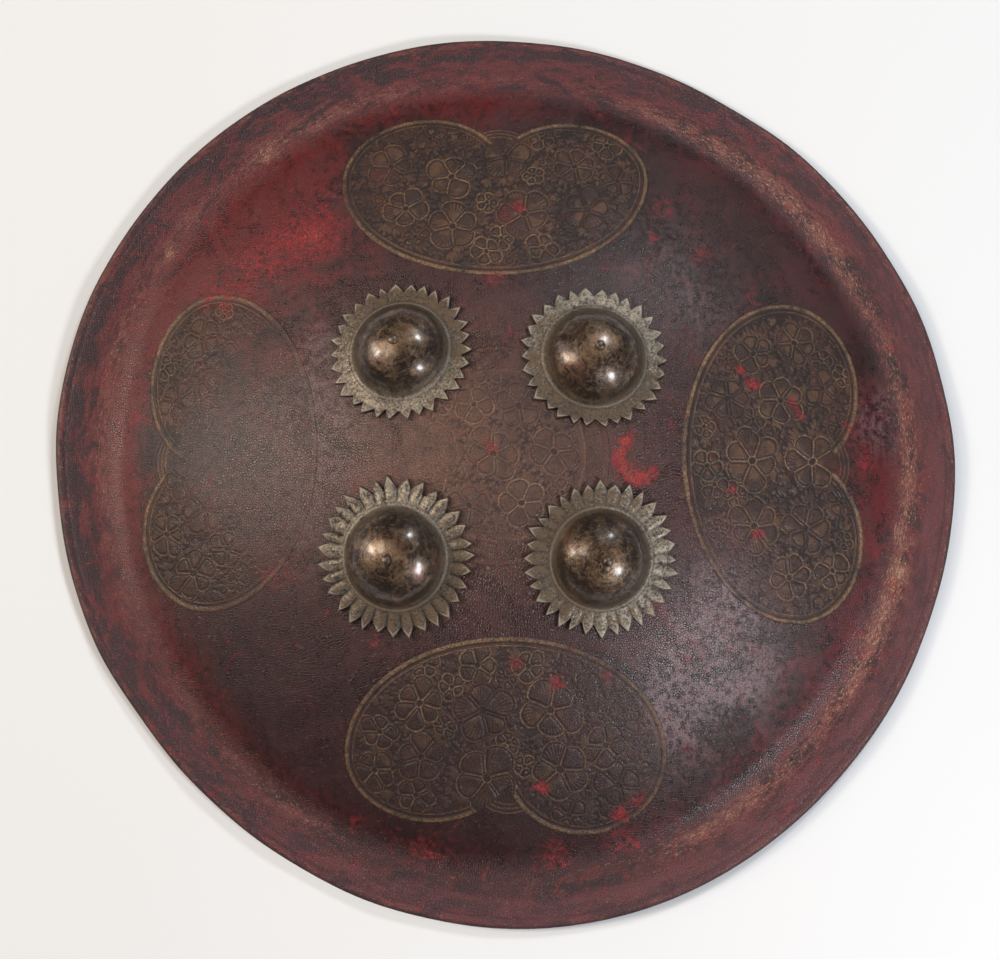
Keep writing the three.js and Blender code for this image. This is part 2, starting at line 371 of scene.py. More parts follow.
class Wire:
    """A socket's value, on which Python's operators add Math nodes."""

    def __init__(self, finish, socket):
        self.finish = finish
        self.socket = socket

    def math(self, operation, *others):
        return self.finish.node("ShaderNodeMath", {"operation": operation}, dict(enumerate((self, *others))))

    def reflected(self, operation, other):
        return self.finish.node("ShaderNodeMath", {"operation": operation}, {0: other, 1: self})

    def __add__(self, other):
        return self.math("ADD", other)

    def __radd__(self, other):
        return self.math("ADD", other)

    def __sub__(self, other):
        return self.math("SUBTRACT", other)

    def __rsub__(self, other):
        return self.reflected("SUBTRACT", other)

    def __mul__(self, other):
        return self.math("MULTIPLY", other)

    def __rmul__(self, other):
        return self.math("MULTIPLY", other)

    def clamped(self):
        return self.finish.node("ShaderNodeClamp", {}, {0: self, 1: 0.0, 2: 1.0})


class Finish:
    """A material under construction, with one Principled shader."""

    def __init__(self, name):
        self.material = bpy.data.materials.new(name)
        self.material.use_nodes = True
        self.tree = self.material.node_tree
        self.shader = self.tree.nodes["Principled BSDF"]

    def node(self, kind, settings=None, inputs=None, output=0):
        made = self.tree.nodes.new(kind)
        for key, value in (settings or {}).items():
            setattr(made, key, value)
        for key, value in (inputs or {}).items():
            self.feed(made.inputs[key], value)
        return Wire(self, made.outputs[output])

    def feed(self, socket, value):
        if isinstance(value, Wire):
            self.tree.links.new(value.socket, socket)
        else:
            socket.default_value = value

    def position(self):
        return self.node("ShaderNodeTexCoord", output="Object")

    def stretched(self, vector, scale, turn=(0, 0, 0)):
        return self.node("ShaderNodeMapping", {}, {"Vector": vector, "Scale": scale, "Rotation": turn})

    def vector_math(self, operation, *inputs, output="Vector"):
        settings = {"operation": operation}
        return self.node("ShaderNodeVectorMath", settings, dict(enumerate(inputs)), output)

    def ringwise(self, vector, ring, stretch):
        """A position in which patterns run long around the Z axis and short across it."""
        flat = self.vector_math("MULTIPLY", vector, (1, 1, 0))
        away = self.vector_math("LENGTH", flat, output="Value")
        turn = self.vector_math("MULTIPLY", self.vector_math("NORMALIZE", flat), (ring, ring, 0))
        return self.vector_math("ADD", turn, self.node("ShaderNodeCombineXYZ", {}, {"Z": away * stretch}))

    def noise(self, vector, scale, detail=3.0, roughness=0.55, distortion=0.0, space="3D"):
        inputs = {"Vector": vector, "Scale": scale, "Detail": detail, "Roughness": roughness}
        inputs["Distortion"] = distortion
        return self.node("ShaderNodeTexNoise", {"noise_dimensions": space}, inputs)

    def cells(self, vector, scale, feature="F1", space="3D"):
        settings = {"feature": feature, "voronoi_dimensions": space}
        return self.node("ShaderNodeTexVoronoi", settings, {"Vector": vector, "Scale": scale}, "Distance")

    def mark(self, name):
        settings = {"attribute_name": name, "attribute_type": "GEOMETRY"}
        return self.node("ShaderNodeAttribute", settings, output="Fac")

    def step(self, value, low, high):
        settings = {"interpolation_type": "SMOOTHSTEP"}
        return self.node("ShaderNodeMapRange", settings, {"Value": value, "From Min": low, "From Max": high})

    def mix(self, share, first, second):
        settings = {"data_type": "RGBA", "clamp_factor": True}
        inputs = {0: share, 6: self.colour(first), 7: self.colour(second)}
        return self.node("ShaderNodeMix", settings, inputs, 2)

    @staticmethod
    def colour(value):
        return value if isinstance(value, Wire) else (*value[:3], 1)

    def bump(self, height, distance, strength=1.0, normal=None):
        inputs = {"Height": height, "Distance": distance, "Strength": strength}
        if normal is not None:
            inputs["Normal"] = normal
        return self.node("ShaderNodeBump", {}, inputs)

    def shade(self, **sockets):
        for key, value in sockets.items():
            socket = self.shader.inputs[key.replace("_", " ")]
            self.feed(socket, self.colour(value) if key == "Base_Color" else value)
        return self.material


def linear(red, green, blue):
    """Linear values of a display colour given in 0 to 255."""
    def channel(value):
        value /= 255
        return value / 12.92 if value <= 0.04045 else ((value + 0.055) / 1.055) ** 2.4

    return channel(red), channel(green), channel(blue)


def hide_finish(settings):
    """Dark lacquer over pebbled hide: mottled, worn to red ground and tan, gilded on the stamped work; shade
    and sheen painted.
    """
    f = Finish("lacquered_hide")
    here = f.position()
    around = f.ringwise(here, 0.24, 3.0)
    red_mark, warm_mark, rub_mark, rim_mark = (f.mark(name) for name in ("red", "warm", "rub", "rim"))
    outer_mark, middle_mark, bloom_and_sheen_mark = (f.mark(name) for name in ("outer", "middle", "bloom"))
    line_mark, pad_mark, pit_mark, field_mark = (f.mark(name) for name in ("line", "pad", "pit", "field"))
    inner_mark = f.mark("inside")

    def flat(scale, detail, roughness, distortion=0.0, vector=here):
        return f.noise(vector, scale, detail, roughness, distortion, "2D")

    broad = flat(11, 4, 0.6, 0.5)
    blotch = flat(42, 6, 0.66, 0.7)
    patchy = flat(26, 7, 0.74, 1.2)
    speck = flat(230, 4, 0.7)
    fleck = flat(620, 2, 0.6)
    creases = f.step(f.cells(here, settings.grain_scale, "DISTANCE_TO_EDGE", "2D"), 0.0, 0.22)
    fine = flat(1150, 3, 0.7)

    # lacquer of the dome, from nearly black to a thin wine red, with a dusty bloom in patches
    dark = f.mix(f.step(broad, 0.36, 0.66), settings.shade_colour, settings.lacquer_colour)
    warmth = (warm_mark * 0.8 + (blotch - 0.5) * 1.9 + (speck - 0.5) * 0.9).clamped()
    body = f.mix(f.step(warmth, 0.1, 0.9), dark, settings.warm_colour)
    worn_middle = (middle_mark * 0.8 + (blotch - 0.5) * 1.2 * middle_mark).clamped()
    body = f.mix(worn_middle * 0.85, body, settings.middle_colour)
    body = f.mix(f.step(patchy + (speck - 0.5) * 0.3, 0.48, 0.62) * 0.26, body, settings.bloom_colour)
    # pink bloom in the bloom places, in part a painted sheen
    lifted = f.step(patchy * 0.3 + speck * 0.45 + fleck * 0.25 + bloom_and_sheen_mark * 0.03, 0.46, 0.62)
    body = f.mix((lifted * bloom_and_sheen_mark * 0.7).clamped(), body, settings.lifted_bloom_and_sheen_colour)
    sunken = f.step(patchy + (speck - 0.5) * 0.4, 0.47, 0.36) * (0.55 - bloom_and_sheen_mark * 0.35)
    body = f.mix(sunken.clamped(), body, settings.shade_colour)

    # brim and fillet, streaked along the edge: a rubbed ring and a plum coloured band outside it
    streak = f.noise(around, 46, 7, 0.74, 0.6)
    thread = f.noise(around, 230, 5, 0.78, 0.3)
    plum_share = f.step(streak - outer_mark * 0.07 + warm_mark * 0.04, 0.42, 0.52)
    rim = f.mix(plum_share, settings.plum_colour, settings.rim_colour)
    rubbed = f.step(streak * 0.6 + thread * 0.4 + rub_mark * 0.13, 0.53, 0.64)
    rim = f.mix(rubbed * (0.15 + rub_mark * 0.85).clamped(), rim, settings.rub_colour)
    rim = f.mix(f.step(thread, 0.46, 0.3) * 0.7, rim, settings.plum_colour)
    rim = f.mix(f.step(thread, 0.54, 0.68) * 0.45, rim, settings.warm_colour)
    rim = f.mix(f.mark("mauve") * (0.75 + (streak - 0.5) * 2).clamped(), rim, settings.mauve_colour)
    body = f.mix((rim_mark * 0.9 + (streak - 0.5) * 1.4 * rim_mark).clamped(), body, rim)

    # gilding and dirt of the stamped work
    olive = f.mix(f.step(blotch, 0.36, 0.64), settings.field_dark_colour, settings.field_colour)
    body = f.mix((field_mark * (0.95 + (patchy - 0.5) * 1.2)).clamped(), body, olive)
    petal_tone = flat(95, 2, 0.5)
    pads = f.mix(f.step(petal_tone, 0.46, 0.62), settings.pad_colour, settings.pad_light_colour)
    body = f.mix((pad_mark * (0.75 + (speck - 0.5) * 1.8)).clamped(), body, pads)
    gilt = f.mix(f.step(fleck, 0.42, 0.7), settings.gilt_colour, settings.gilt_dull_colour)
    gilt_share = (line_mark * (0.75 + (speck - 0.5) * 2.4 + (blotch - 0.5) * 2.4)).clamped()
    body = f.mix(gilt_share, body, gilt)
    body = f.mix(pit_mark * 0.8, body, settings.pit_colour)

    # painted shade: the lacquer darkened in the shaded places, mostly low on the dome
    shaded = (f.mark("shade") * (0.6 + (blotch - 0.5) * 1.6)).clamped()
    body = f.mix(shaded * (1 - line_mark * 0.6), body, settings.shade_colour)

    # losses down to the red ground: a stain, and crisp flakes with darker threads left standing
    brushed = flat(64, 7, 0.8, 1.4, f.stretched(here, (1.0, 1.9, 1.0), (0, 0, 0.6)))
    loss = 0.5 + (brushed - 0.5) * 1.1 + (speck - 0.5) * 0.5 + red_mark * 0.2
    flakes = f.step(loss, 0.6, 0.72)
    stain = f.step(loss, 0.45, 0.8) * 0.5
    red_share = (flakes * 0.8 + stain) * f.step(red_mark, 0.05, 0.7)
    stray = f.step(flat(88, 7, 0.8, 0.7) + warm_mark * 0.04 + rim_mark * 0.03, 0.61, 0.69) * 0.6
    threads = f.step(flat(340, 5, 0.74, 0.5), 0.38, 0.6)
    ground = f.mix(threads, settings.red_dark_colour, settings.red_colour)
    ground = f.mix(f.step(red_mark + (fleck - 0.5) * 1.6, 1.0, 1.6), ground, settings.orange_colour)
    body = f.mix((red_share + stray * (1 - pit_mark) * (1 - field_mark * 0.6)).clamped() * 0.9, body, ground)

    # hide rubbed bare in small flecks, and dirt between the pebbles
    bare = f.step(f.noise(around, 360, 6, 0.76, 0.4) + rub_mark * 0.1, 0.61, 0.69)
    bare_speck = f.step(flat(520, 5, 0.74) + rub_mark * 0.04 + red_mark * 0.02, 0.66, 0.72)
    bare_share = (bare * (rub_mark * 1.2).clamped() * 0.8 + bare_speck * 0.5).clamped()
    body = f.mix(bare_share, body, settings.bare_colour)
    dirt = (1 - creases) * 0.34 + f.step(fine, 0.52, 0.36) * 0.42
    body = f.mix((dirt * (1 - line_mark * 0.7)).clamped(), body, settings.pit_colour)
    # the outer face of the lip and the groove inside it are darkened
    body = f.mix(f.mark("edge") * 0.85, body, settings.edge_colour)

    # plain rawhide inside, with its fibres
    fibres = flat(120, 5, 0.7, 0.6, f.stretched(here, (1, 0.35, 1), (0, 0, 0.4)))
    fibre_share = f.step(broad * 0.5 + fibres * 0.5, 0.4, 0.62)
    rawhide = f.mix(fibre_share, settings.inside_dark_colour, settings.inside_colour)
    rawhide = f.mix((1 - creases) * 0.25, rawhide, settings.pit_colour)
    body = f.mix(inner_mark, body, rawhide)

    grain = creases * 0.8 + fine * 0.9 + flat(560, 3, 0.6) * 0.7
    swell = f.bump(flat(42, 4, 0.55), 0.0016, 0.35)
    rough = 0.3 + (1 - creases) * 0.2 + (speck - 0.5) * 0.35 + (patchy - 0.5) * 0.3 + red_share * 0.1
    rough = rough + rub_mark * 0.08 + inner_mark * 0.35 + field_mark * 0.1 + pit_mark * 0.15 + rim_mark * 0.1
    return f.shade(
        Base_Color=body,
        Roughness=rough.clamped(),
        Metallic=gilt_share * 0.25,
        Normal=f.bump(grain, settings.grain_depth, 0.5, swell),
        Specular_IOR_Level=0.46,
    )


def iron_finish(settings):
    """Brown patinated iron: coppery where hands have polished the domes, grey and rusty on the flanges, with
    painted shade and highlights on the teeth.
    """
    f = Finish("boss_iron")
    here = f.position()
    flange, groove, crown, rust = (f.mark(name) for name in ("flange", "groove", "crown", "rust"))
    wall, edge = f.mark("wall"), f.mark("edge")
    broad = f.noise(here, 55, 4, 0.6, 0.5)
    mottle = f.noise(here, 210, 6, 0.78, 0.9)
    fine = f.noise(here, 900, 3, 0.7)
    rings = f.node("ShaderNodeCombineXYZ", {}, {"X": f.mark("reach"), "Y": broad * 0.01})
    scoured = f.noise(rings, 900, 4, 0.7)
    polished = f.step(mottle * 0.6 + broad * 0.3 + (scoured - 0.5) * 0.3 + crown * 0.08 + 0.02, 0.42, 0.64)
    dome = f.mix(polished, settings.patina_colour, settings.polish_colour)
    coppery = f.step(fine * 0.6 + mottle * 0.4 + crown * 0.05, 0.54, 0.7)
    dome = f.mix(coppery * 0.6, dome, settings.copper_colour)
    dome = f.mix(f.step(broad, 0.56, 0.68) * 0.45, dome, settings.red_brown_colour)
    rusted = f.step(mottle * 0.9 + broad * 0.2 + (rust - 0.5) * 0.18, 0.48, 0.62)
    plate = f.mix(rusted, settings.flange_colour, settings.rust_colour)
    plate = f.mix(f.step(fine * 0.5 + mottle * 0.5, 0.54, 0.42) * 0.85, plate, settings.patina_colour)
    plate = f.mix(f.step(broad * 0.5 + mottle * 0.5, 0.5, 0.4) * 0.5, plate, settings.patina_colour)
    # painted highlights on the teeth, with some rubbing, and bright beads round the domes
    plate = f.mix(edge * 0.7, plate, settings.bright_and_highlight_colour)
    dome = f.mix(wall * 0.35, dome, plate)
    colour = f.mix(flange, dome, plate)
    # grime in the lines, with painted shade round the teeth
    colour = f.mix(groove * 0.9, colour, settings.grime_and_shade_colour)
    rough = 0.33 + flange * 0.12 + wall * 0.08 + rusted * flange * 0.15 + (mottle - 0.5) * 0.5
    rough = rough + (scoured - 0.5) * 0.25 + groove * 0.3
    height = mottle * 0.9 + fine * 0.4 + f.noise(here, 120, 3, 0.6) * 1.2 + scoured * 0.35
    return f.shade(
        Base_Color=colour,
        Roughness=rough.clamped(),
        Metallic=(0.62 - groove * 0.4 - flange * 0.1 - rusted * flange * 0.3).clamped(),
        Coat_Weight=(1 - flange - wall).clamped() * (0.6 + (mottle - 0.5) * 3).clamped(),
        Coat_Roughness=0.2,
        Normal=f.bump(height, 0.0005, 0.55),
    )


def strap_finish(settings):
    """Plain dark leather, handled and creased across."""
    f = Finish("strap_leather")
    here = f.position()
    blotch = f.noise(here, 60, 5, 0.6)
    crease = f.noise(f.stretched(here, (1, 7, 7)), 60, 4, 0.6, 0.8)
    grain = f.cells(here, 1100) * 0.7 + f.noise(here, 1600, 2, 0.5) * 0.4
    colour = f.mix(f.step(blotch, 0.35, 0.7), settings.leather_colour, settings.leather_dark_colour)
    colour = f.mix(f.step(crease, 0.5, 0.75) * 0.35, colour, settings.leather_worn_colour)
    return f.shade(
        Base_Color=colour,
        Roughness=(0.55 + (blotch - 0.5) * 0.3).clamped(),
        Normal=f.bump(grain + crease * 1.5, 0.0005, 0.6),
    )


# ---------------------------------------------------------------------------------------------------------
# Settings
# ---------------------------------------------------------------------------------------------------------

def length_setting(name, description, default):
    return bpy.props.FloatProperty(
        name=name, description=description, default=default, unit="LENGTH", precision=4
    )


def angle_setting(name, description, degrees):
    return bpy.props.FloatProperty(
        name=name, description=description, default=math.radians(degrees), subtype="ANGLE"
    )


def colour_setting(name, description, red, green, blue):
    return bpy.props.FloatVectorProperty(
        name=name, description=description, default=linear(red, green, blue), size=3, subtype="COLOR",
        min=0, max=1,
    )


class HideSettings(bpy.types.PropertyGroup):
    grain_scale: bpy.props.FloatProperty(name="Grain", description="Pebbles to a metre", default=740)
    grain_depth: length_setting("Grain Depth", "Height of the pebbles", 0.0003)
    # the darkest lacquer is also the colour of the painted shade
    shade_colour: colour_setting("Shade", "Darkest lacquer", 38, 15, 15)
    lacquer_colour: colour_setting("Lacquer", "Main lacquer", 58, 22, 23)
    warm_colour: colour_setting("Warm Lacquer", "Thin lacquer over the red ground", 102, 25, 28)
    bloom_colour: colour_setting("Bloom", "Dusty bloom on the lacquer", 92, 54, 54)
    # a pink bloom that is in part a painted sheen
    lifted_bloom_and_sheen_colour: colour_setting("Lifted", "Pink bloom where the lacquer has lifted", 146, 120, 123)
    middle_colour: colour_setting("Middle", "Lacquer worn thin between the bosses", 132, 92, 74)
    red_dark_colour: colour_setting("Dark Red", "Red ground under threads of lacquer", 88, 22, 26)
    red_colour: colour_setting("Red Ground", "Red ground where the lacquer is gone", 150, 30, 38)
    orange_colour: colour_setting("Orange Ground", "Freshest loss", 172, 54, 42)
    plum_colour: colour_setting("Plum", "Darkest lacquer of the brim", 44, 19, 28)
    mauve_colour: colour_setting("Mauve", "Dull bloom on the outer brim", 102, 54, 57)
    rim_colour: colour_setting("Rim", "Lacquer of the brim", 92, 28, 32)
    rub_colour: colour_setting("Rubbed", "Brim rubbed dull", 128, 76, 68)
    bare_colour: colour_setting("Bare Hide", "Hide rubbed bare", 178, 138, 108)
    # darkens the outer face of the lip and the groove inside it
    edge_colour: colour_setting("Edge", "Dirt on the cut edge", 36, 20, 24)
    gilt_colour: colour_setting("Gilt", "Gilding that is left", 142, 114, 82)
    gilt_dull_colour: colour_setting("Dull Gilt", "Tarnished gilding", 88, 64, 46)
    pad_colour: colour_setting("Petals", "Dirty gilding in the petals", 58, 38, 29)
    pad_light_colour: colour_setting("Bright Petals", "Gilding kept in some petals", 98, 68, 46)
    field_colour: colour_setting("Field", "Ground of the stamped work", 74, 43, 31)
    field_dark_colour: colour_setting("Dark Field", "Dirty ground of the stamped work", 40, 24, 18)
    pit_colour: colour_setting("Pits", "Dirt in the stamped work", 26, 14, 12)
    inside_colour: colour_setting("Inside", "Plain hide behind", 92, 62, 43)
    inside_dark_colour: colour_setting("Inside Dark", "Dirt on the plain hide", 66, 43, 31)


class PanelSettings(bpy.types.PropertyGroup):
    spacing: length_setting("Spacing", "Distance between mesh points of the stamped work", 0.0005)
    relief: length_setting("Relief", "Height of the raised lines", 0.0008)
    band: length_setting("Band", "Width of the border band", 0.0048)


class BossSettings(bpy.types.PropertyGroup):
    tooth_steps: bpy.props.IntProperty(
        name="Tooth Steps", description="Mesh steps in one tooth", default=10, min=4
    )
    patina_colour: colour_setting("Patina", "Dark brown patina", 48, 35, 28)
    polish_colour: colour_setting("Polish", "Metal polished by handling", 116, 92, 68)
    copper_colour: colour_setting("Coppery", "Warm specks on the domes", 152, 114, 78)
    red_brown_colour: colour_setting("Red Brown", "Red brown patina on the domes", 92, 50, 40)
    # also the painted highlight on the teeth
    bright_and_highlight_colour: colour_setting("Bright", "Edges of the teeth rubbed bright", 176, 164, 146)
    flange_colour: colour_setting("Flange", "Worn grey flange", 152, 140, 124)
    rust_colour: colour_setting("Rust", "Brown rust on the flanges", 92, 74, 55)
    # also the painted shade round the teeth
    grime_and_shade_colour: colour_setting("Grime", "Dirt in lines and corners", 34, 26, 23)


class StrapSettings(bpy.types.PropertyGroup):
    leather_colour: colour_setting("Leather", "Strap leather", 62, 38, 26)
    leather_dark_colour: colour_setting("Dark Leather", "Handled leather", 38, 24, 18)
    leather_worn_colour: colour_setting("Worn Leather", "Creases", 104, 72, 50)


class StageSettings(bpy.types.PropertyGroup):
    lens: bpy.props.FloatProperty(
        name="Lens", description="Focal length", default=58.5, subtype="DISTANCE_CAMERA"
    )
    distance: length_setting("Distance", "Camera to shield", 0.95)
    tilt: angle_setting("Tilt", "Camera off the vertical", 7)
    bearing: angle_setting("Bearing", "Side to which the camera leans", 12)
    floor_colour: colour_setting("Floor", "Pale floor", 223, 223, 224)


SETTINGS = {
    "shield_hide": HideSettings,
    "shield_panels": PanelSettings,
    "shield_bosses": BossSettings,
    "shield_straps": StrapSettings,
    "shield_stage": StageSettings,
}
finishes = {}


def finish_for(slot):
    """The material of a slot, made once."""
    scene = bpy.context.scene
    makers = {
        "lacquered_hide": (hide_finish, scene.shield_hide),
        "boss_iron": (iron_finish, scene.shield_bosses),
        "strap_leather": (strap_finish, scene.shield_straps),
    }
    if slot not in finishes:
        maker, settings = makers[slot]
        finishes[slot] = maker(settings)
    return finishes[slot]


# ---------------------------------------------------------------------------------------------------------
# The hide
# ---------------------------------------------------------------------------------------------------------

class SHIELD_OT_hide(bpy.types.Operator):
    """Model the moulded hide: dome, fillet, brim and lip"""

    bl_idname = "shield.hide"
    bl_label = "Hide"
    segments = 360

    def profile(self):
        tangent = math.degrees(math.atan2(FILLET_Z - DOME_CENTRE[2], FILLET_R))
        centre = (0, DOME_CENTRE[2])
        fillet = (FILLET_R, FILLET_Z)
        lip = (EDGE_RADIUS - LIP_RADIUS, LIP_LIFT + LIP_RADIUS)
        inner_radius = DOME_RADIUS - HIDE_THICKNESS
        lip_top = float(true_height(np.array(lip[0] - 1)))
        groove_step = 0.6
        places = [
            *np.linspace(FILLET_R + 2, GROOVE_RADIUS - 3 * groove_step, 7),
            *(GROOVE_RADIUS + groove_step * np.arange(-2, 3)),
        ]
        brim = [(r, float(true_height(np.array(r)))) for r in places]
        points = arc(centre, DOME_RADIUS, 90, tangent, 62)
        points += arc(fillet, FILLET_RADIUS, 180 + tangent, 270, 12, ends=False)
        points += brim
        points += arc(lip, lip_top - lip[1], 97, 50, 4)
        points += arc(lip, LIP_RADIUS, 35, -125, 8)
        points += [(lip[0] - 6, 0.0), (lip[0] - 14, 0.0)]
        points += arc(fillet, FILLET_RADIUS + HIDE_THICKNESS, 270, 180 + tangent, 7)
        points += arc(centre, inner_radius, tangent, 90, 26, ends=False)
        points[0] = (0, points[0][1])
        points[-1] = (0, points[-1][1])
        return points

    def execute(self, context):
        bm = turned(self.profile(), self.segments)
        co = coordinates(bm)
        radius = np.hypot(co[:, 0], co[:, 1])
        angle = np.arctan2(co[:, 1], co[:, 0])
        scale = stretch(radius, angle)
        x, y = co[:, 0] * scale, co[:, 1] * scale
        outer_height = true_height(radius)
        lifted = dents(x, y) * smooth_step(0.0, 3.0, co[:, 2])
        place(bm, into_frame(np.stack([x, y, co[:, 2] + lifted], 1)))
        marks = hide_marks(x, y)
        marks["inside"] = smooth_step(1.5, 3.2, outer_height - co[:, 2]) * (radius < EDGE_RADIUS - 5)
        material = finish_for("lacquered_hide")
        finish_piece("moulded_hide", bm, material, ["hide_shell"], marks)
        return {"FINISHED"}


# ---------------------------------------------------------------------------------------------------------
# Stamped work
# ---------------------------------------------------------------------------------------------------------

# Every panel is a kidney of two lobes, with its own frame: u runs across it, v out from the crown.
# across and rise give its half length and the rise of its lobes, to the left and to the right, and lean is
# how far its notch stands off the middle line. Behind the notch lies a small wedge of arcs, whose centre
# stands NOTCH_BACK inside it. A skirt round the stamped work dips into the hide, so that it shows no edge.
# Flowers are (u, v, radius, petals, turn in degrees). Faded places are (u, v, reach, share lost).
PANEL_MIDDLE = 165.0
PANEL_DEPTH = 65.5
LOBE_CENTRE = 0.48
LOBE_REACH = 0.52
SKIRT = 1.2
SUNK = -1.0
SKIRT_LIFT = -0.5
PIECE_LIFT = 0.12
NOTCH_BACK = 5.0
WEDGE_REACH = 23.2
PANELS = {
    "upper": dict(
        bearing=90, across=(91, 86), rise=(41, 37), lean=-1,
        flowers=[
            (-28, 164, 14.5, 5, 10), (3, 177, 15.5, 5, 90), (13, 139, 15.5, 5, 40), (-26, 131, 15, 5, 20),
            (-54, 144, 13, 5, 55), (-64, 173, 13.5, 5, 0), (42, 171, 12.5, 6, 15), (67, 162, 10.5, 5, 30),
            (49, 142, 14, 5, 5), (62, 186, 9.5, 5, 50), (-42, 191, 9, 5, 12), (-8, 114, 9, 5, 44),
            (24, 116, 9, 5, 70), (24, 190, 8.5, 5, 33),
        ],
        faded=[(-84, 150, 22, 0.6), (20, 100, 26, 0.35), (70, 128, 20, 0.4)],
    ),
    "lower": dict(
        bearing=-90, across=(88, 91), rise=(44, 37), lean=-4,
        flowers=[
            (9, 140, 16.5, 5, 60), (-28, 139, 16.5, 5, 15), (44, 136, 14, 6, 20), (8, 177, 18.5, 5, 90),
            (-33, 172, 16, 5, 5), (44, 165, 14, 5, 50), (70, 173, 12, 5, 10), (67, 151, 10.5, 5, 40),
            (-57, 159, 12.5, 5, 25), (-65, 181, 14, 5, 65), (48, 187, 10.5, 5, 30), (-38, 197, 10, 5, 0),
            (12, 115, 11, 5, 30), (-16, 115, 9, 5, 75), (-74, 152, 8, 5, 12), (40, 115, 8, 5, 54),
        ],
        faded=[(-66, 140, 30, 0.6), (-84, 170, 22, 0.45), (-45, 112, 24, 0.5)],
    ),
    "right": dict(
        bearing=0, across=(92, 90), rise=(40, 41), lean=2,
        flowers=[
            (2, 139, 16.5, 6, 10), (1, 175, 16, 6, 30), (-32, 157, 14, 6, 0), (-31, 126, 12.5, 6, 40),
            (-67, 167, 12.5, 6, 15), (-59, 142, 11.5, 5, 55), (-41, 182, 11, 5, 20), (38, 171, 14, 6, 25),
            (38, 140, 15, 6, 5), (66, 161, 12.5, 6, 45), (62, 186, 10.5, 5, 60), (6, 114, 9, 5, 0),
            (23, 192, 9, 5, 35), (60, 140, 8.5, 5, 70), (-20, 193, 8.5, 5, 10), (17, 117, 8, 5, 20),
        ],
        faded=[(56, 118, 30, 0.7), (78, 150, 22, 0.35)],
    ),
    "left": dict(
        bearing=180, across=(86, 97), rise=(42, 39), lean=1,
        flowers=[
            (72, 172, 12.5, 5, 20), (37, 186, 11.5, 5, 45), (40, 163, 12, 5, 10), (-41, 190, 12, 6, 30),
            (-28, 167, 14.5, 5, 85), (-64, 174, 14, 6, 50), (-10, 180, 12, 5, 15), (-50, 152, 11, 5, 60),
            (12, 150, 13, 5, 35), (62, 146, 12, 5, 5), (34, 128, 13, 5, 70), (4, 120, 12, 5, 20),
            (-26, 132, 13, 5, 50), (-56, 128, 9, 5, 0), (57, 196, 8, 5, 40), (20, 176, 9, 5, 12),
        ],
        faded=[
            (10, 122, 46, 0.95), (56, 128, 38, 0.9), (-42, 118, 36, 0.9), (5, 160, 30, 0.9),
            (-84, 150, 22, 0.5),
        ],
    ),
}
ROUNDEL = dict(
    x=0, y=-2, radius=60, inner=46.5,
    flowers=[
        (-3, 0, 14.5, 6, 0), (11, 27, 13, 5, 20), (30, 1, 13.5, 5, 50), (-16, -28, 12, 5, 10),
        (13, -26, 13, 5, 35), (-14, 27, 11, 5, 60), (-33, 6, 12, 5, 25), (-36, -17, 8, 5, 45),
        (34, 24, 7, 5, 10), (35, -21, 8, 5, 30), (-1, -42, 5, 5, 0),
    ],
    faded=[(-42, 4, 24, 0.9), (-16, 40, 16, 0.5), (0, -54, 20, 0.6), (34, 46, 18, 0.4)],
)


def flower_relief(u, v, flower):
    """Relief of one stamped flower, in line heights, with its cords, its petals and what it covers.

    Each petal is a round pad inside a raised cord. Neighbours share the cord between them, and the pads are
    slit like a fan at their tips.
    """
    fu, fv, radius, petals, turn = flower
    out = np.hypot(u - fu, v - fv)
    angle = np.arctan2(v - fv, u - fu) - math.radians(turn)
    sector = 2 * np.pi / petals
    index = np.floor(angle / sector + 0.5)
    within = angle - index * sector
    share = within / sector
    uneven = 1 + 0.08 * np.sin(2.3 * index + fu) + 0.04 * np.sin(4.1 * index + fv)
    tip = radius * uneven * (0.66 + 0.34 * np.sqrt(np.maximum(np.cos(share * np.pi * 0.98), 0)))
    side = out * np.sin(np.maximum(sector / 2 - np.abs(within), 0))
    inside = np.minimum(tip - out, side)
    cord = bell(inside, 0.5)
    pad = smooth_step(0.75, 2.0, inside) * (0.78 + 0.2 * np.sin(out / radius * 3.0))
    slits = 3 + round(radius / 3)
    fan = smooth_step(0.52, 0.62, out / radius) * smooth_step(0.6, 1.1, inside)
    fan = fan * (0.4 + 0.6 * (np.sin(1.9 * index + fv) > -0.3))
    pad = pad * (1 - 0.55 * fan * (0.5 - 0.5 * np.cos(share * 2 * np.pi * slits)))
    eye = 0.1 * radius + 0.15
    hollow = smooth_step(eye + 0.8, eye + 0.1, out)
    ring = bell(out - eye - 0.5, 0.5)
    cord = np.maximum(cord * (1 - hollow), ring)
    pad = pad * smooth_step(eye + 0.6, eye + 1.8, out)
    cover = smooth_step(-0.9, -0.4, inside + np.where(out < eye + 1, 9, 0))
    return np.maximum(cord, pad) * (1 - 0.9 * hollow), cord, pad, cover


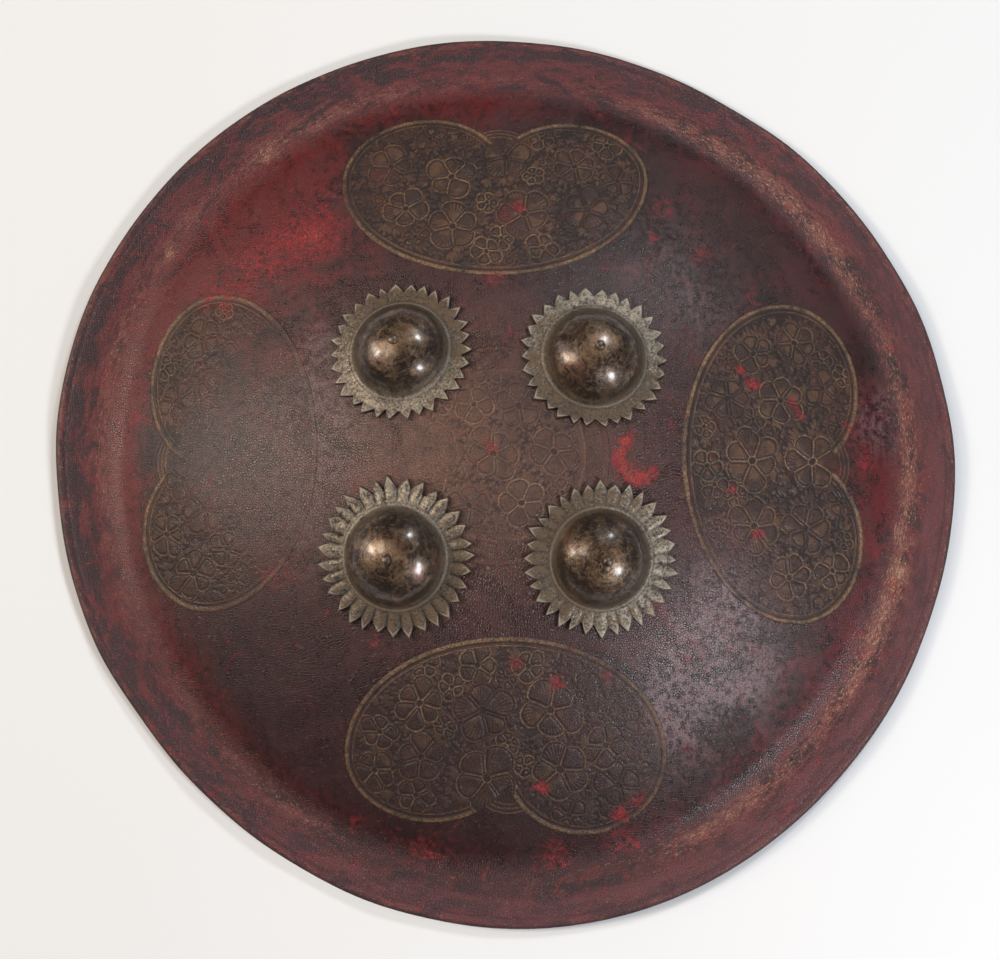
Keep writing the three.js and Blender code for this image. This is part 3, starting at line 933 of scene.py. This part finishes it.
def leaf_relief(u, v, leaf):
    """Relief of one comb-edged leaf, a ribbed fan on a short stalk, as flower_relief gives it."""
    fu, fv, radius, _, turn = leaf
    turn = math.radians(turn)
    along = (u - fu) * math.cos(turn) + (v - fv) * math.sin(turn)
    across = (v - fv) * math.cos(turn) - (u - fu) * math.sin(turn)
    stalk = along + radius * 0.7
    out = np.hypot(stalk, across)
    angle = np.arctan2(across, stalk)
    tip = radius * 1.6 * np.sqrt(np.maximum(np.cos(angle * 1.25), 0))
    inside = np.where(np.abs(angle) < 1.2, np.minimum(tip - out, 0.8 * out), -2)
    ribs = 0.5 + 0.5 * np.cos(angle * (5 + radius * 1.1))
    comb = smooth_step(0.5, 0.75, out / (radius * 1.6))
    pad = smooth_step(-0.2, 0.8, inside) * (0.75 - 0.7 * comb * (1 - ribs))
    cord = 0.6 * smooth_step(0.1, 0.5, inside) * comb * ribs**2
    return pad, cord, pad, smooth_step(-0.8, -0.2, inside)


def stamped_field(u, v, flowers, leaves):
    """Flowers over leaves over a ground of fine bars. Later ones lie under earlier ones."""
    u, v = u + 0.7 * np.sin(v / 4.7 + 0.8 * np.sin(u / 9)), v + 0.7 * np.sin(u / 5.3 + 0.9 * np.sin(v / 8))
    bars = np.sin(u * 2.6 + 1.5 * np.sin(v / 4.3)) * np.sin(v * 2.4 + 1.7 * np.sin(u / 3.7))
    fields = {"relief": 0.16 + 0.16 * bars, "line": np.zeros_like(u), "pad": np.zeros_like(u)}
    free = np.ones_like(u)
    for shapes, shape_relief in ((flowers, flower_relief), (leaves, leaf_relief)):
        for shape in shapes:
            near = (np.abs(u - shape[0]) < shape[2] * 1.7) & (np.abs(v - shape[1]) < shape[2] * 1.7)
            if not near.any():
                continue
            relief, line, pad, cover = shape_relief(u[near], v[near], shape)
            share = cover * free[near]
            line = line * (0.75 + 0.25 * math.sin(3.1 * shape[0] + shape[1]))
            for name, values in (("relief", relief), ("line", line), ("pad", pad)):
                fields[name][near] = fields[name][near] * (1 - share) + values * share
            free[near] = free[near] * (1 - cover)
    return fields


def filling(flowers, room, spread, seed):
    """Small flowers and leaves tucked into the gaps between the large ones, the same on every run."""
    dice = np.random.default_rng(seed)
    buds, leaves = [], []
    for attempt in range(2400):
        u, v = dice.uniform(spread[0], spread[1]), dice.uniform(spread[2], spread[3])
        bud = attempt < 160
        radius = dice.uniform(5.5, 8.0) if bud else dice.uniform(3.6, 5.4)
        turn = dice.uniform(0, 360)
        near = min(flowers + buds, key=lambda f: math.hypot(u - f[0], v - f[1]) - f[2])
        gap = math.hypot(u - near[0], v - near[1]) - near[2]
        beside = min((math.hypot(u - f[0], v - f[1]) - f[2] for f in leaves), default=99)
        if room(u, v) < 0.5 * radius:
            continue
        if bud and gap > 0.5 * radius:
            buds.append((u, v, radius, 5, turn))
        elif not bud and gap > -0.35 * radius and beside > -0.1 * radius:
            away = math.degrees(math.atan2(v - near[1], u - near[0]))
            leaves.append((u, v, radius, 0, away + 25 * math.sin(attempt)))
    return buds, leaves


def inside_ellipse(u, v, centre_u, half_u, half_v):
    """About how far points lie inside an ellipse on the panel's middle line."""
    across, rise = (u - centre_u) / half_u, (v - PANEL_MIDDLE) / half_v
    reach = np.maximum(np.hypot(across, rise), 1e-6)
    slope = np.hypot(across / half_u, rise / half_v) / reach
    return (1 - reach) / np.maximum(slope, 1e-6)


def depth_in_panel(u, v, panel):
    """How far points lie inside the kidney outline of a panel, negative outside."""
    u = u - panel["lean"]
    left, right = panel["across"]
    below = inside_ellipse(u, v, 0, np.where(u < 0, left, right), PANEL_DEPTH)
    lobes = [
        inside_ellipse(u, v, side * LOBE_CENTRE * half, LOBE_REACH * half, rise)
        for side, half, rise in ((-1, left, panel["rise"][0]), (1, right, panel["rise"][1]))
    ]
    return np.where(v < PANEL_MIDDLE, below, np.maximum(*lobes))


def border_fields(depth, band):
    """The border: a broad outer ridge, a groove and a thin inner line."""
    ridge = smooth_step(-0.2, 0.5, depth) * (1 - smooth_step(2.1, 2.9, depth))
    thin = bell(depth - band, 0.45)
    return {"relief": np.maximum(0.7 * ridge, 0.7 * thin), "line": np.maximum(0.72 * ridge, 0.75 * thin)}


def under_flanges(x, y):
    """1 in the open, falling to 0 under the flange of a boss."""
    open_share = np.ones_like(x)
    for boss in BOSSES.values():
        away = np.hypot(x - boss["x"], y - boss["y"])
        open_share = open_share * smooth_step(boss["root"] - 1, boss["tip"] - 1, away)
    return open_share


def laid_on_dome(x, y, height):
    """Points at a height over the outer face, in millimetres from the crown's foot."""
    z = face_height(x, y)
    normal = np.stack([x, y, z - DOME_CENTRE[2]], 1)
    normal = normal / np.linalg.norm(normal, axis=1)[:, None]
    return np.stack([x, y, z], 1) + normal * height[:, None]


def stamped_grid(spread, spacing, keep):
    """A fine flat grid over a rectangle of the plan, without the points for which keep is false."""
    low_u, high_u, low_v, high_v = spread
    across = int((high_u - low_u) / spacing)
    along = int((high_v - low_v) / spacing)
    bm = bmesh.new()
    bmesh.ops.create_grid(bm, x_segments=across, y_segments=along, size=0.5)
    co = coordinates(bm)
    u = low_u + (co[:, 0] + 0.5) * (high_u - low_u)
    v = low_v + (co[:, 1] + 0.5) * (high_v - low_v)
    wanted = keep(u, v)
    dropped = [vert for vert, kept in zip(bm.verts, wanted) if not kept]
    bmesh.ops.delete(bm, geom=dropped, context="VERTS")
    return bm, u[wanted], v[wanted]


def stamped_piece(name, bm, u, v, to_plan, fields, faded, settings, strength=1.0):
    """Lays a stamped grid on the dome and gives it its gilding and dirt.

    A relief of SUNK marks the skirt, which dips into the hide.
    """
    worn = np.clip(1 - blobs(u, v, faded), 0.02, 1)
    x, y = to_plan(u, v)
    relief = fields["relief"]
    sunk = relief == SUNK
    scale = settings.relief / MM * (0.04 + 0.96 * worn) * under_flanges(x, y) * strength
    place(bm, into_frame(laid_on_dome(x, y, np.where(sunk, SKIRT_LIFT, PIECE_LIFT + relief * scale))))
    marks = hide_marks(x, y)
    shown = ~sunk * (0.4 + 0.6 * strength)
    marks["line"] = np.clip(smooth_step(0.35, 0.85, fields["line"]) * (0.15 + 0.85 * worn), 0, 1) * shown
    marks["pad"] = smooth_step(0.4, 0.8, fields["pad"]) * (0.1 + 0.9 * worn) * shown
    marks["pit"] = smooth_step(0.36, 0.04, relief) * fields["deep"] * (0.15 + 0.85 * worn) * shown
    marks["field"] = fields["field"] * (0.3 + 0.7 * worn) * shown
    return finish_piece(name, bm, finish_for("lacquered_hide"), (), marks)


class SHIELD_OT_panels(bpy.types.Operator):
    """Stamp the four kidney-shaped flower panels"""

    bl_idname = "shield.panels"
    bl_label = "Flower Panels"

    def stamp(self, name, panel, seed, settings):
        notch_rise = min(panel["rise"]) * math.sqrt(1 - (LOBE_CENTRE / LOBE_REACH) ** 2)
        notch = panel["lean"], PANEL_MIDDLE + notch_rise
        band = settings.band / MM
        left, right = panel["across"]
        spread = (
            panel["lean"] - left - SKIRT, panel["lean"] + right + SKIRT,
            PANEL_MIDDLE - PANEL_DEPTH - SKIRT, PANEL_MIDDLE + max(panel["rise"]) + SKIRT,
        )

        def keep(u, v):
            reach = np.hypot(u - notch[0], v - notch[1] + NOTCH_BACK)
            wedge = (v > notch[1] - 1) & (reach < WEDGE_REACH + 0.8)
            return (depth_in_panel(u, v, panel) > -0.9) | wedge

        bm, u, v = stamped_grid(spread, settings.spacing / MM, keep)
        depth = depth_in_panel(u, v, panel)
        flowers = list(panel["flowers"])
        buds, leaves = filling(flowers, lambda fu, fv: depth_in_panel(fu, fv, panel) - band, spread, seed)
        fields = stamped_field(u, v, flowers + buds, leaves)
        border = border_fields(depth, band)
        middle = min(flowers, key=lambda f: math.hypot(f[0] - notch[0], f[1] - notch[1]))
        over_border = flower_relief(u, v, middle)[3] * smooth_step(0.2, 0.8, depth)
        field_share = np.maximum(smooth_step(band + 0.4, band + 1.0, depth), over_border)
        for key in ("relief", "line"):
            fields[key] = fields[key] * field_share + border[key] * (1 - field_share)
        fields["pad"] = fields["pad"] * field_share
        fields["deep"] = 0.25 + 0.75 * field_share
        fields["field"] = np.clip(smooth_step(-0.6, 0.6, depth), 0, 1)
        reach = np.hypot(u - notch[0], v - notch[1] + NOTCH_BACK)
        arcs = sum(bell(reach - at, 0.5) for at in (17.0, 19.5, 22.0))
        in_wedge = (depth < 0.1) & (reach < WEDGE_REACH) & (v > notch[1])
        skirted = np.where(depth < -0.2, SUNK, fields["relief"])
        fields["relief"] = np.where(in_wedge, 0.1 + 0.35 * arcs, skirted)
        fields["line"] = np.where(in_wedge, 0.25 + 0.45 * arcs, fields["line"])
        fields["field"] = np.where(in_wedge, 0.6, fields["field"])
        turn = math.radians(panel["bearing"] - 90)

        def to_plan(pu, pv):
            return pu * math.cos(turn) - pv * math.sin(turn), pu * math.sin(turn) + pv * math.cos(turn)

        stamped_piece(f"stamped_panel_{name}", bm, u, v, to_plan, fields, panel["faded"], settings)

    def execute(self, context):
        settings = context.scene.shield_panels
        for seed, (name, panel) in enumerate(PANELS.items()):
            self.stamp(name, panel, seed, settings)
        return {"FINISHED"}


class SHIELD_OT_roundel(bpy.types.Operator):
    """Stamp the faint flower roundel between the bosses"""

    bl_idname = "shield.roundel"
    bl_label = "Middle Roundel"

    def execute(self, context):
        settings = context.scene.shield_panels
        radius, inner = ROUNDEL["radius"], ROUNDEL["inner"]
        reach = radius + 1

        def to_plan(pu, pv):
            return pu + ROUNDEL["x"], pv + ROUNDEL["y"]

        def keep(u, v):
            return (np.hypot(u, v) < reach) & (under_flanges(*to_plan(u, v)) > 0)

        bm, u, v = stamped_grid((-reach, reach, -reach, reach), settings.spacing / MM, keep)
        linked = np.array([bool(vert.link_faces) for vert in bm.verts])
        bmesh.ops.delete(bm, geom=[vert for vert in bm.verts if not vert.link_faces], context="VERTS")
        u, v = u[linked], v[linked]
        out = np.hypot(u, v)
        flowers = list(ROUNDEL["flowers"])
        spread = (-inner, inner, -inner, inner)
        buds, leaves = filling(flowers, lambda fu, fv: inner - math.hypot(fu, fv), spread, 9)
        fields = stamped_field(u, v, flowers + buds, leaves)
        rings = sum(
            height * bell(out - inner - at, width)
            for at, width, height in ((0, 0.8, 0.6), (-2.2, 0.45, 0.35), (9.6, 0.5, 0.3), (12.4, 0.9, 0.5))
        )
        field_share = smooth_step(inner - 2.6, inner - 3.4, out)
        for key in ("relief", "line"):
            fields[key] = fields[key] * field_share + rings * (1 - field_share)
        fields["relief"] = np.where(out > radius + 0.2, SUNK, fields["relief"])
        fields["pad"] = fields["pad"] * field_share * 0.6
        fields["deep"] = 1.1 * field_share
        fields["field"] = 0.35 + 0.15 * field_share - 0.35 * smooth_step(radius - 9, radius, out)
        stamped_piece("stamped_roundel", bm, u, v, to_plan, fields, ROUNDEL["faded"], settings, 0.85)
        return {"FINISHED"}


# ---------------------------------------------------------------------------------------------------------
# Bosses, bolts and roves
# ---------------------------------------------------------------------------------------------------------

def boss_matrix(boss):
    """Places a boss whose origin is on the outer face and whose Z axis runs out along its bolt."""
    direction = Vector((boss["x"], boss["y"], math.sqrt(DOME_RADIUS**2 - boss["x"] ** 2 - boss["y"] ** 2)))
    turn = Vector((0, 0, 1)).rotation_difference(direction.normalized()).to_matrix().to_4x4()
    return Matrix.Translation(Vector(DOME_CENTRE)) @ turn @ Matrix.Translation((0, 0, DOME_RADIUS))


def into_boss_place(bm, boss):
    bmesh.ops.transform(bm, matrix=Matrix.Scale(MM, 4) @ boss_matrix(boss), verts=bm.verts)


def on_sphere(radius, lift):
    """Height at a distance from the bolt of a sheet that lies a given distance off the dome."""
    return np.sqrt((DOME_RADIUS + lift) ** 2 - radius**2) - DOME_RADIUS


class SHIELD_OT_bosses(bpy.types.Operator):
    """Model the four beaten bosses with their saw-toothed flanges"""

    bl_idname = "shield.bosses"
    bl_label = "Bosses"

    def profile(self, boss):
        foot, height, root, tip = boss["foot"], boss["height"], boss["root"], boss["tip"]
        top = PIECE_GAP + SHEET

        def bowl(radius, rise, start, stop, steps):
            angles = np.radians(np.linspace(start, stop, steps))
            return [(radius * math.cos(a), rise * math.sin(a)) for a in angles]

        foot_top = float(on_sphere(foot, top))
        points = [(HEAD_RADIUS * 0.7, height)] + bowl(foot, height, 82, 17, 22)
        flare = [(0.12, 3.6), (0.38, 2.5), (0.8, 1.6), (1.4, 0.95), (2.2, 0.45), (3.2, 0.15)]
        points += [(foot + out, foot_top + rise) for out, rise in flare]
        points += [(r, float(on_sphere(r, top))) for r in np.linspace(foot + 4.2, root, 7)]
        points += [(r, float(on_sphere(r, top))) for r in np.linspace(root, tip - 0.35, 6)[1:]]
        points += [(tip, float(on_sphere(tip, top - 0.35))), (tip, float(on_sphere(tip, PIECE_GAP + 0.1)))]
        points += [(tip - 0.4, float(on_sphere(tip, PIECE_GAP)))]
        points += [(r, float(on_sphere(r, PIECE_GAP))) for r in (root, foot - SHEET)]
        points += bowl(foot - SHEET, height - SHEET, 20, 82, 7)
        points += [(HEAD_RADIUS * 0.7, height - SHEET)]
        return points

    def teeth(self, boss, angle):
        """Uneven teeth: where each mesh angle moves to, each tooth's tip and valley radius, and its lift."""
        dice = np.random.default_rng(boss["teeth"])
        count = boss["teeth"]
        lean = dice.uniform(-0.17, 0.17, count)
        valley_turn = dice.uniform(-0.15, 0.15, count)
        tip = boss["tip"] + dice.uniform(-2.4, 0.7, count)
        valley = boss["root"] + dice.uniform(-0.8, 1.1, count)
        lift = dice.uniform(0.0, 0.7, count)
        turn = angle / (2 * np.pi) * count
        tooth = np.floor(turn + 0.5 + 1e-6)
        within = turn - tooth
        this = np.mod(tooth, count).astype(int)
        before = np.mod(tooth - 1, count).astype(int)
        start = -0.5 + valley_turn[before]
        stop = 0.5 + valley_turn[this]
        rising = start + (within + 0.5) * 2 * (lean[this] - start)
        falling = lean[this] + within * 2 * (stop - lean[this])
        moved = tooth + np.where(within < 0, rising, falling)
        sharp = np.clip(1 - 2 * np.abs(within), 0, 1)
        foot = np.where(within < 0, valley[before], valley[this])
        reach = foot + (tip[this] - foot) * sharp**1.08
        return moved * 2 * np.pi / count, reach, sharp, within, lift[this]

    def execute(self, context):
        steps = context.scene.shield_bosses.tooth_steps
        for name, boss in BOSSES.items():
            bm, marks = self.beaten(boss, boss["teeth"] * steps)
            into_boss_place(bm, boss)
            material = finish_for("boss_iron")
            finish_piece(f"beaten_boss_{name}", bm, material, [f"boss_{name}"], marks, 50)
        return {"FINISHED"}

    def beaten(self, boss, steps):
        """The turned boss with its teeth cut and chased and its dome unevenly beaten, and its marks."""
        bm = turned(self.profile(boss), steps, closed=True)
        co = coordinates(bm)
        radius = np.hypot(co[:, 0], co[:, 1])
        flat_angle = np.arctan2(co[:, 1], co[:, 0])
        foot, root, tip, leaf = (boss[key] for key in ("foot", "root", "tip", "leaf"))
        moved, reach, sharp, within, lift = self.teeth(boss, flat_angle)

        # teeth: the flange past their root is drawn out to its new edge
        share = np.clip((radius - foot - 4) / (tip - foot - 4), 0, 1)
        inner_share = (root - foot - 4) / (tip - foot - 4)
        past_root = np.clip((share - inner_share) / (1 - inner_share), 0, 1)
        new_radius = np.where(radius > root, root + past_root * (reach - root), radius)
        warp = smooth_step(foot - 2, foot + 4, radius)
        angle = flat_angle + (moved - flat_angle) * warp

        # chasing on the upper face, and slow bumps of the hammer on the dome
        on_flange = smooth_step(foot - 1, foot + 2.5, radius)
        upper = co[:, 2] > on_sphere(radius, PIECE_GAP + 0.6)
        leaf_start = smooth_step(foot + 2.5, foot + 6, new_radius)
        beside = np.abs(within) - 0.5
        furrow = bell(beside, 0.09) * leaf_start
        chased = (0.8 * sharp * leaf_start - 0.6 * furrow) * leaf
        facet = sharp * past_root * (1 - 0.6 * past_root)
        turned_lines = 0.08 * np.sin(new_radius * 3.7) * on_flange * (1 - past_root)
        bumps = np.sin(angle * 3 + co[:, 2] * 0.3 + boss["y"])
        bumps = bumps * np.sin(angle * 5 + radius * 0.21 + boss["x"])
        new_radius = new_radius + 0.25 * bumps * smooth_step(6, 14, radius) * (1 - on_flange)
        drop = np.where(radius > root, on_sphere(new_radius, 0) - on_sphere(radius, 0), 0)
        z = co[:, 2] + drop + lift * past_root**2 + (chased + facet + turned_lines) * upper
        place(bm, np.stack([new_radius * np.cos(angle), new_radius * np.sin(angle), z], 1))

        # dirt in the lines, painted shade and patina round the teeth, painted highlights and rubbing on them,
        # bright beads
        past_foot = new_radius - foot
        seam = bell(past_foot - 1.2, 1.5) * upper
        incised = bell(past_foot + 1.8, 0.5) + bell(past_foot - 3.4, 0.5)
        beaded = bell(past_foot - 0.2, 0.45) + bell(past_foot - 2.4, 0.4)
        # painted shade down the sides of the teeth, between them
        side = bell(beside, 0.17) * past_root
        # painted shadow, with patina, at the outer edge of each tooth
        outline = smooth_step(0.84, 0.97, past_root)
        # painted highlight, with some rubbing, on a band inside each tooth's edge
        rim = smooth_step(0.5, 0.8, past_root) * (1 - outline) * (1 - leaf * 0.3)
        groove = furrow * leaf + 0.22 * seam + 0.5 * incised * upper + 0.85 * side
        marks = {
            "flange": on_flange,
            # the groove mark holds painted shade round the teeth, and the edge mark painted highlights on
            # them
            "groove": np.clip(groove + 0.75 * outline + (1 - upper) * on_flange, 0, 1),
            "edge": rim * (1 - side) + 0.45 * beaded * upper,
            "reach": radius * MM,
            "crown": smooth_step(18, 2, radius),
            "wall": smooth_step(foot - 5, foot - 0.5, radius) * (1 - on_flange),
            "rust": 0.5 - 0.5 * np.cos(angle - math.radians(boss["clean"])),
        }
        return bm, marks


class SHIELD_OT_bolts(bpy.types.Operator):
    """Model the bolts through the bosses and the roves behind the hide"""

    bl_idname = "shield.bolts"
    bl_label = "Bolts and Roves"

    def execute(self, context):
        material = finish_for("boss_iron")
        rove_top = -(HIDE_THICKNESS + STRAP_CLEARANCE + STRAP_THICKNESS + 2 * PIECE_GAP)
        rove_back = rove_top - ROVE_THICKNESS
        tail_top = rove_back - PIECE_GAP
        for name, boss in BOSSES.items():
            base = boss["height"] + 0.5 * PIECE_GAP
            head = [
                (HEAD_RADIUS * math.cos(a), base + 0.35 + (HEAD_HEIGHT - 0.35) * math.sin(a))
                for a in np.radians(np.linspace(90, 0, 9))
            ]
            tail = [
                (TAIL_RADIUS * math.cos(a), tail_top - 0.3 - (TAIL_HEIGHT - 0.3) * math.sin(a))
                for a in np.radians(np.linspace(0, 90, 7))
            ]
            profile = head + [(HEAD_RADIUS, base), (SHANK_RADIUS, base), (SHANK_RADIUS, tail_top)]
            profile += [(TAIL_RADIUS, tail_top)] + tail
            profile[0] = (0, profile[0][1])
            profile[-1] = (0, profile[-1][1])
            bm = turned(profile, 40)
            rubbed = {"wall": np.full(len(bm.verts), 0.9)}
            into_boss_place(bm, boss)
            finish_piece(f"round_bolt_{name}", bm, material, [f"bolt_{name}"], rubbed, 40)
            edge = 0.45
            hole = SHANK_RADIUS + 0.4
            rove = [
                (hole, rove_top), (ROVE_RADIUS - edge, rove_top), (ROVE_RADIUS, rove_top - edge),
                (ROVE_RADIUS, rove_back + edge), (ROVE_RADIUS - edge, rove_back),
                (ROVE_RADIUS * 0.6, rove_back - 0.15), (hole, rove_back),
            ]
            bm = turned(rove, 48, closed=True)
            into_boss_place(bm, boss)
            finish_piece(f"round_rove_{name}", bm, material, [f"rove_{name}"], None, 40)
        return {"FINISHED"}


# ---------------------------------------------------------------------------------------------------------
# Straps behind
# ---------------------------------------------------------------------------------------------------------

class SHIELD_OT_straps(bpy.types.Operator):
    """Model the two plain hand straps behind the hide"""

    bl_idname = "shield.straps"
    bl_label = "Hand Straps"
    length_steps = 90
    width_steps = 18

    def execute(self, context):
        material = finish_for("strap_leather")
        for side in ("left", "right"):
            upper, lower = (self.direction(BOSSES[f"{row}_{side}"]) for row in ("upper", "lower"))
            along = (upper - lower).normalized()
            outward = (upper + lower).normalized()
            across = along.cross(outward)
            half_angle = upper.angle(lower) / 2
            bm = self.band(half_angle)
            basis = Matrix((along, outward, across)).transposed().to_4x4()
            place_in_frame = Matrix.Scale(MM, 4) @ Matrix.Translation(Vector(DOME_CENTRE)) @ basis
            bmesh.ops.transform(bm, matrix=place_in_frame, verts=bm.verts)
            bmesh.ops.recalc_face_normals(bm, faces=bm.faces)
            replaced = [f"grip_strap_{side}"]
            finish_piece(f"hand_strap_{side}", bm, material, replaced, None, 60)
        return {"FINISHED"}

    @staticmethod
    def direction(boss):
        height = math.sqrt(DOME_RADIUS**2 - boss["x"] ** 2 - boss["y"] ** 2)
        return Vector((boss["x"], boss["y"], height)).normalized()

    def band(self, half_angle):
        """A strap about the dome's centre: seated at both bolts, bowed between, with rounded ends."""
        inner_radius = DOME_RADIUS - HIDE_THICKNESS
        seat = half_angle - STRAP_SEAT / inner_radius
        end = half_angle + STRAP_END / inner_radius
        face = inner_radius - STRAP_CLEARANCE
        bm = bmesh.new()
        bmesh.ops.create_cube(bm, size=1)
        long_edges = [e for e in bm.edges if abs((e.verts[0].co - e.verts[1].co).x) > 0.5]
        bmesh.ops.subdivide_edges(bm, edges=long_edges, cuts=self.length_steps, use_grid_fill=True)
        wide_edges = [e for e in bm.edges if abs((e.verts[0].co - e.verts[1].co).z) > 0.5]
        bmesh.ops.subdivide_edges(bm, edges=wide_edges, cuts=self.width_steps, use_grid_fill=True)
        co = coordinates(bm)
        along, depth, wide = co[:, 0] * 2, 0.5 - co[:, 1], co[:, 2] * 2
        angle = along * end
        bowed = np.where(np.abs(angle) < seat, STRAP_BOW * np.cos(angle / seat * np.pi / 2) ** 2, 0)
        end_share = smooth_step(end - 9 / inner_radius, end, np.abs(angle))
        waist = 1 - 0.12 * np.cos(along * np.pi / 2) ** 2
        width = STRAP_WIDTH / 2 * np.sqrt(1 - 0.55 * end_share**2) * waist
        edge_round = 0.8 * np.abs(wide) ** 6
        stitched = 0.25 * bell(np.abs(wide) - 0.8, 0.05)
        stitch = 0.5 + 0.5 * np.cos(along * 2 * np.pi * 11)
        pressed = edge_round + stitched * (0.4 + 0.6 * stitch)
        thick = STRAP_THICKNESS - 2 * pressed
        radius = face - bowed - pressed - depth * thick
        place(bm, np.stack([radius * np.sin(angle), radius * np.cos(angle), wide * width], 1))
        return bm


# ---------------------------------------------------------------------------------------------------------
# Stage
# ---------------------------------------------------------------------------------------------------------

def towards(tilt, bearing):
    """A direction by its angle from the vertical and its bearing from +X, in radians."""
    return Vector((math.sin(tilt) * math.cos(bearing), math.sin(tilt) * math.sin(bearing), math.cos(tilt)))


class SHIELD_OT_stage(bpy.types.Operator):
    """Set the pale floor, the soft lights and the camera"""

    bl_idname = "shield.stage"
    bl_label = "Stage"

    floor_reach = 6
    room_colour = (0.97, 0.98, 1.0, 1)
    room_strength = 0.16
    # name, angle from the vertical, bearing, distance, size across and along, power, colour
    lights = [
        ("high_glow", 34, 166, 3.0, 1.0, 0.8, 19, (1.0, 0.9, 0.78)),
        ("warm_side_light", 53, 172, 3.0, 0.66, 0.68, 43, (1.0, 0.88, 0.74)),
        ("side_wall", 64, 165, 3.0, 1.2, 1.2, 14, (1.0, 0.92, 0.83)),
        ("upper_window", 47, 57, 1.6, 0.24, 0.28, 9.4, (0.88, 0.95, 1.0)),
        ("lower_window", 52, -38, 1.5, 0.28, 0.34, 14, (0.92, 0.95, 1.0)),
    ]

    def execute(self, context):
        settings = context.scene.shield_stage
        self.lay_floor(settings)
        self.set_lights(context.scene)
        self.set_camera(context.scene, settings)
        return {"FINISHED"}

    def lay_floor(self, settings):
        f = Finish("pale_floor")
        here = f.position()
        tone = f.mix(f.noise(here, 3, 2, 0.5) * 0.06, settings.floor_colour, (0.6, 0.6, 0.6))
        f.shade(Base_Color=tone, Roughness=0.85)
        bm = bmesh.new()
        bmesh.ops.create_grid(bm, x_segments=1, y_segments=1, size=self.floor_reach)
        bmesh.ops.translate(bm, verts=bm.verts, vec=(0, 0, CAD_BOX[0][2]))
        mesh = bpy.data.meshes.new("pale_floor")
        bm.to_mesh(mesh)
        bm.free()
        mesh.materials.append(f.material)
        floor = bpy.data.objects.new("pale_floor", mesh)
        bpy.context.scene.collection.objects.link(floor)

    def set_lights(self, scene):
        target = Vector((0, 0, 0.05))
        for name, tilt, bearing, distance, width, length, power, colour in self.lights:
            lamp = bpy.data.lights.new(name, "AREA")
            lamp.shape = "RECTANGLE"
            lamp.size = width
            lamp.size_y = length
            lamp.energy = power
            lamp.color = colour
            light = bpy.data.objects.new(name, lamp)
            out = towards(math.radians(tilt), math.radians(bearing))
            light.location = target + out * distance
            light.rotation_euler = out.to_track_quat("Z", "Y").to_euler()
            scene.collection.objects.link(light)
        world = bpy.data.worlds.new("soft_room")
        world.use_nodes = True
        background = world.node_tree.nodes["Background"]
        background.inputs["Color"].default_value = self.room_colour
        background.inputs["Strength"].default_value = self.room_strength
        scene.world = world
        scene.view_settings.view_transform = "Standard"

    def set_camera(self, scene, settings):
        lens = bpy.data.cameras.new("camera")
        lens.lens = settings.lens
        lens.sensor_width = 36
        camera = bpy.data.objects.new("camera", lens)
        out = towards(settings.tilt, settings.bearing - math.pi / 2)
        target = Vector((CROWN[0] - 1.2, CROWN[1] - 6.6, 0)) * MM
        right = (-out).cross(Vector((0, 1, 0))).normalized()
        up = right.cross(-out)
        rotation = Matrix((right, up, out)).transposed().to_4x4()
        camera.matrix_world = Matrix.Translation(target + out * settings.distance) @ rotation
        scene.collection.objects.link(camera)
        scene.camera = camera


# ---------------------------------------------------------------------------------------------------------
# Panel and registration
# ---------------------------------------------------------------------------------------------------------

OPERATORS = [
    SHIELD_OT_hide, SHIELD_OT_panels, SHIELD_OT_roundel, SHIELD_OT_bosses, SHIELD_OT_bolts, SHIELD_OT_straps,
    SHIELD_OT_stage,
]


class SHIELD_PT_sidebar(bpy.types.Panel):
    """The shield's steps in the order in which they are made"""

    bl_idname = "SHIELD_PT_sidebar"
    bl_label = "Hide Shield"
    bl_space_type = "VIEW_3D"
    bl_region_type = "UI"
    bl_category = "Shield"

    def draw(self, context):
        for operator in OPERATORS:
            self.layout.operator(operator.bl_idname)


def register():
    for name, group in SETTINGS.items():
        bpy.utils.register_class(group)
        setattr(bpy.types.Scene, name, bpy.props.PointerProperty(type=group))
    for cls in (*OPERATORS, SHIELD_PT_sidebar):
        bpy.utils.register_class(cls)


def unregister():
    for cls in reversed((*OPERATORS, SHIELD_PT_sidebar)):
        bpy.utils.unregister_class(cls)
    for name, group in SETTINGS.items():
        delattr(bpy.types.Scene, name)
        bpy.utils.unregister_class(group)


def main():
    register()
    for operator in OPERATORS:
        group, step = operator.bl_idname.split(".")
        getattr(getattr(bpy.ops, group), step)()


if __name__ == "__main__":
    main()
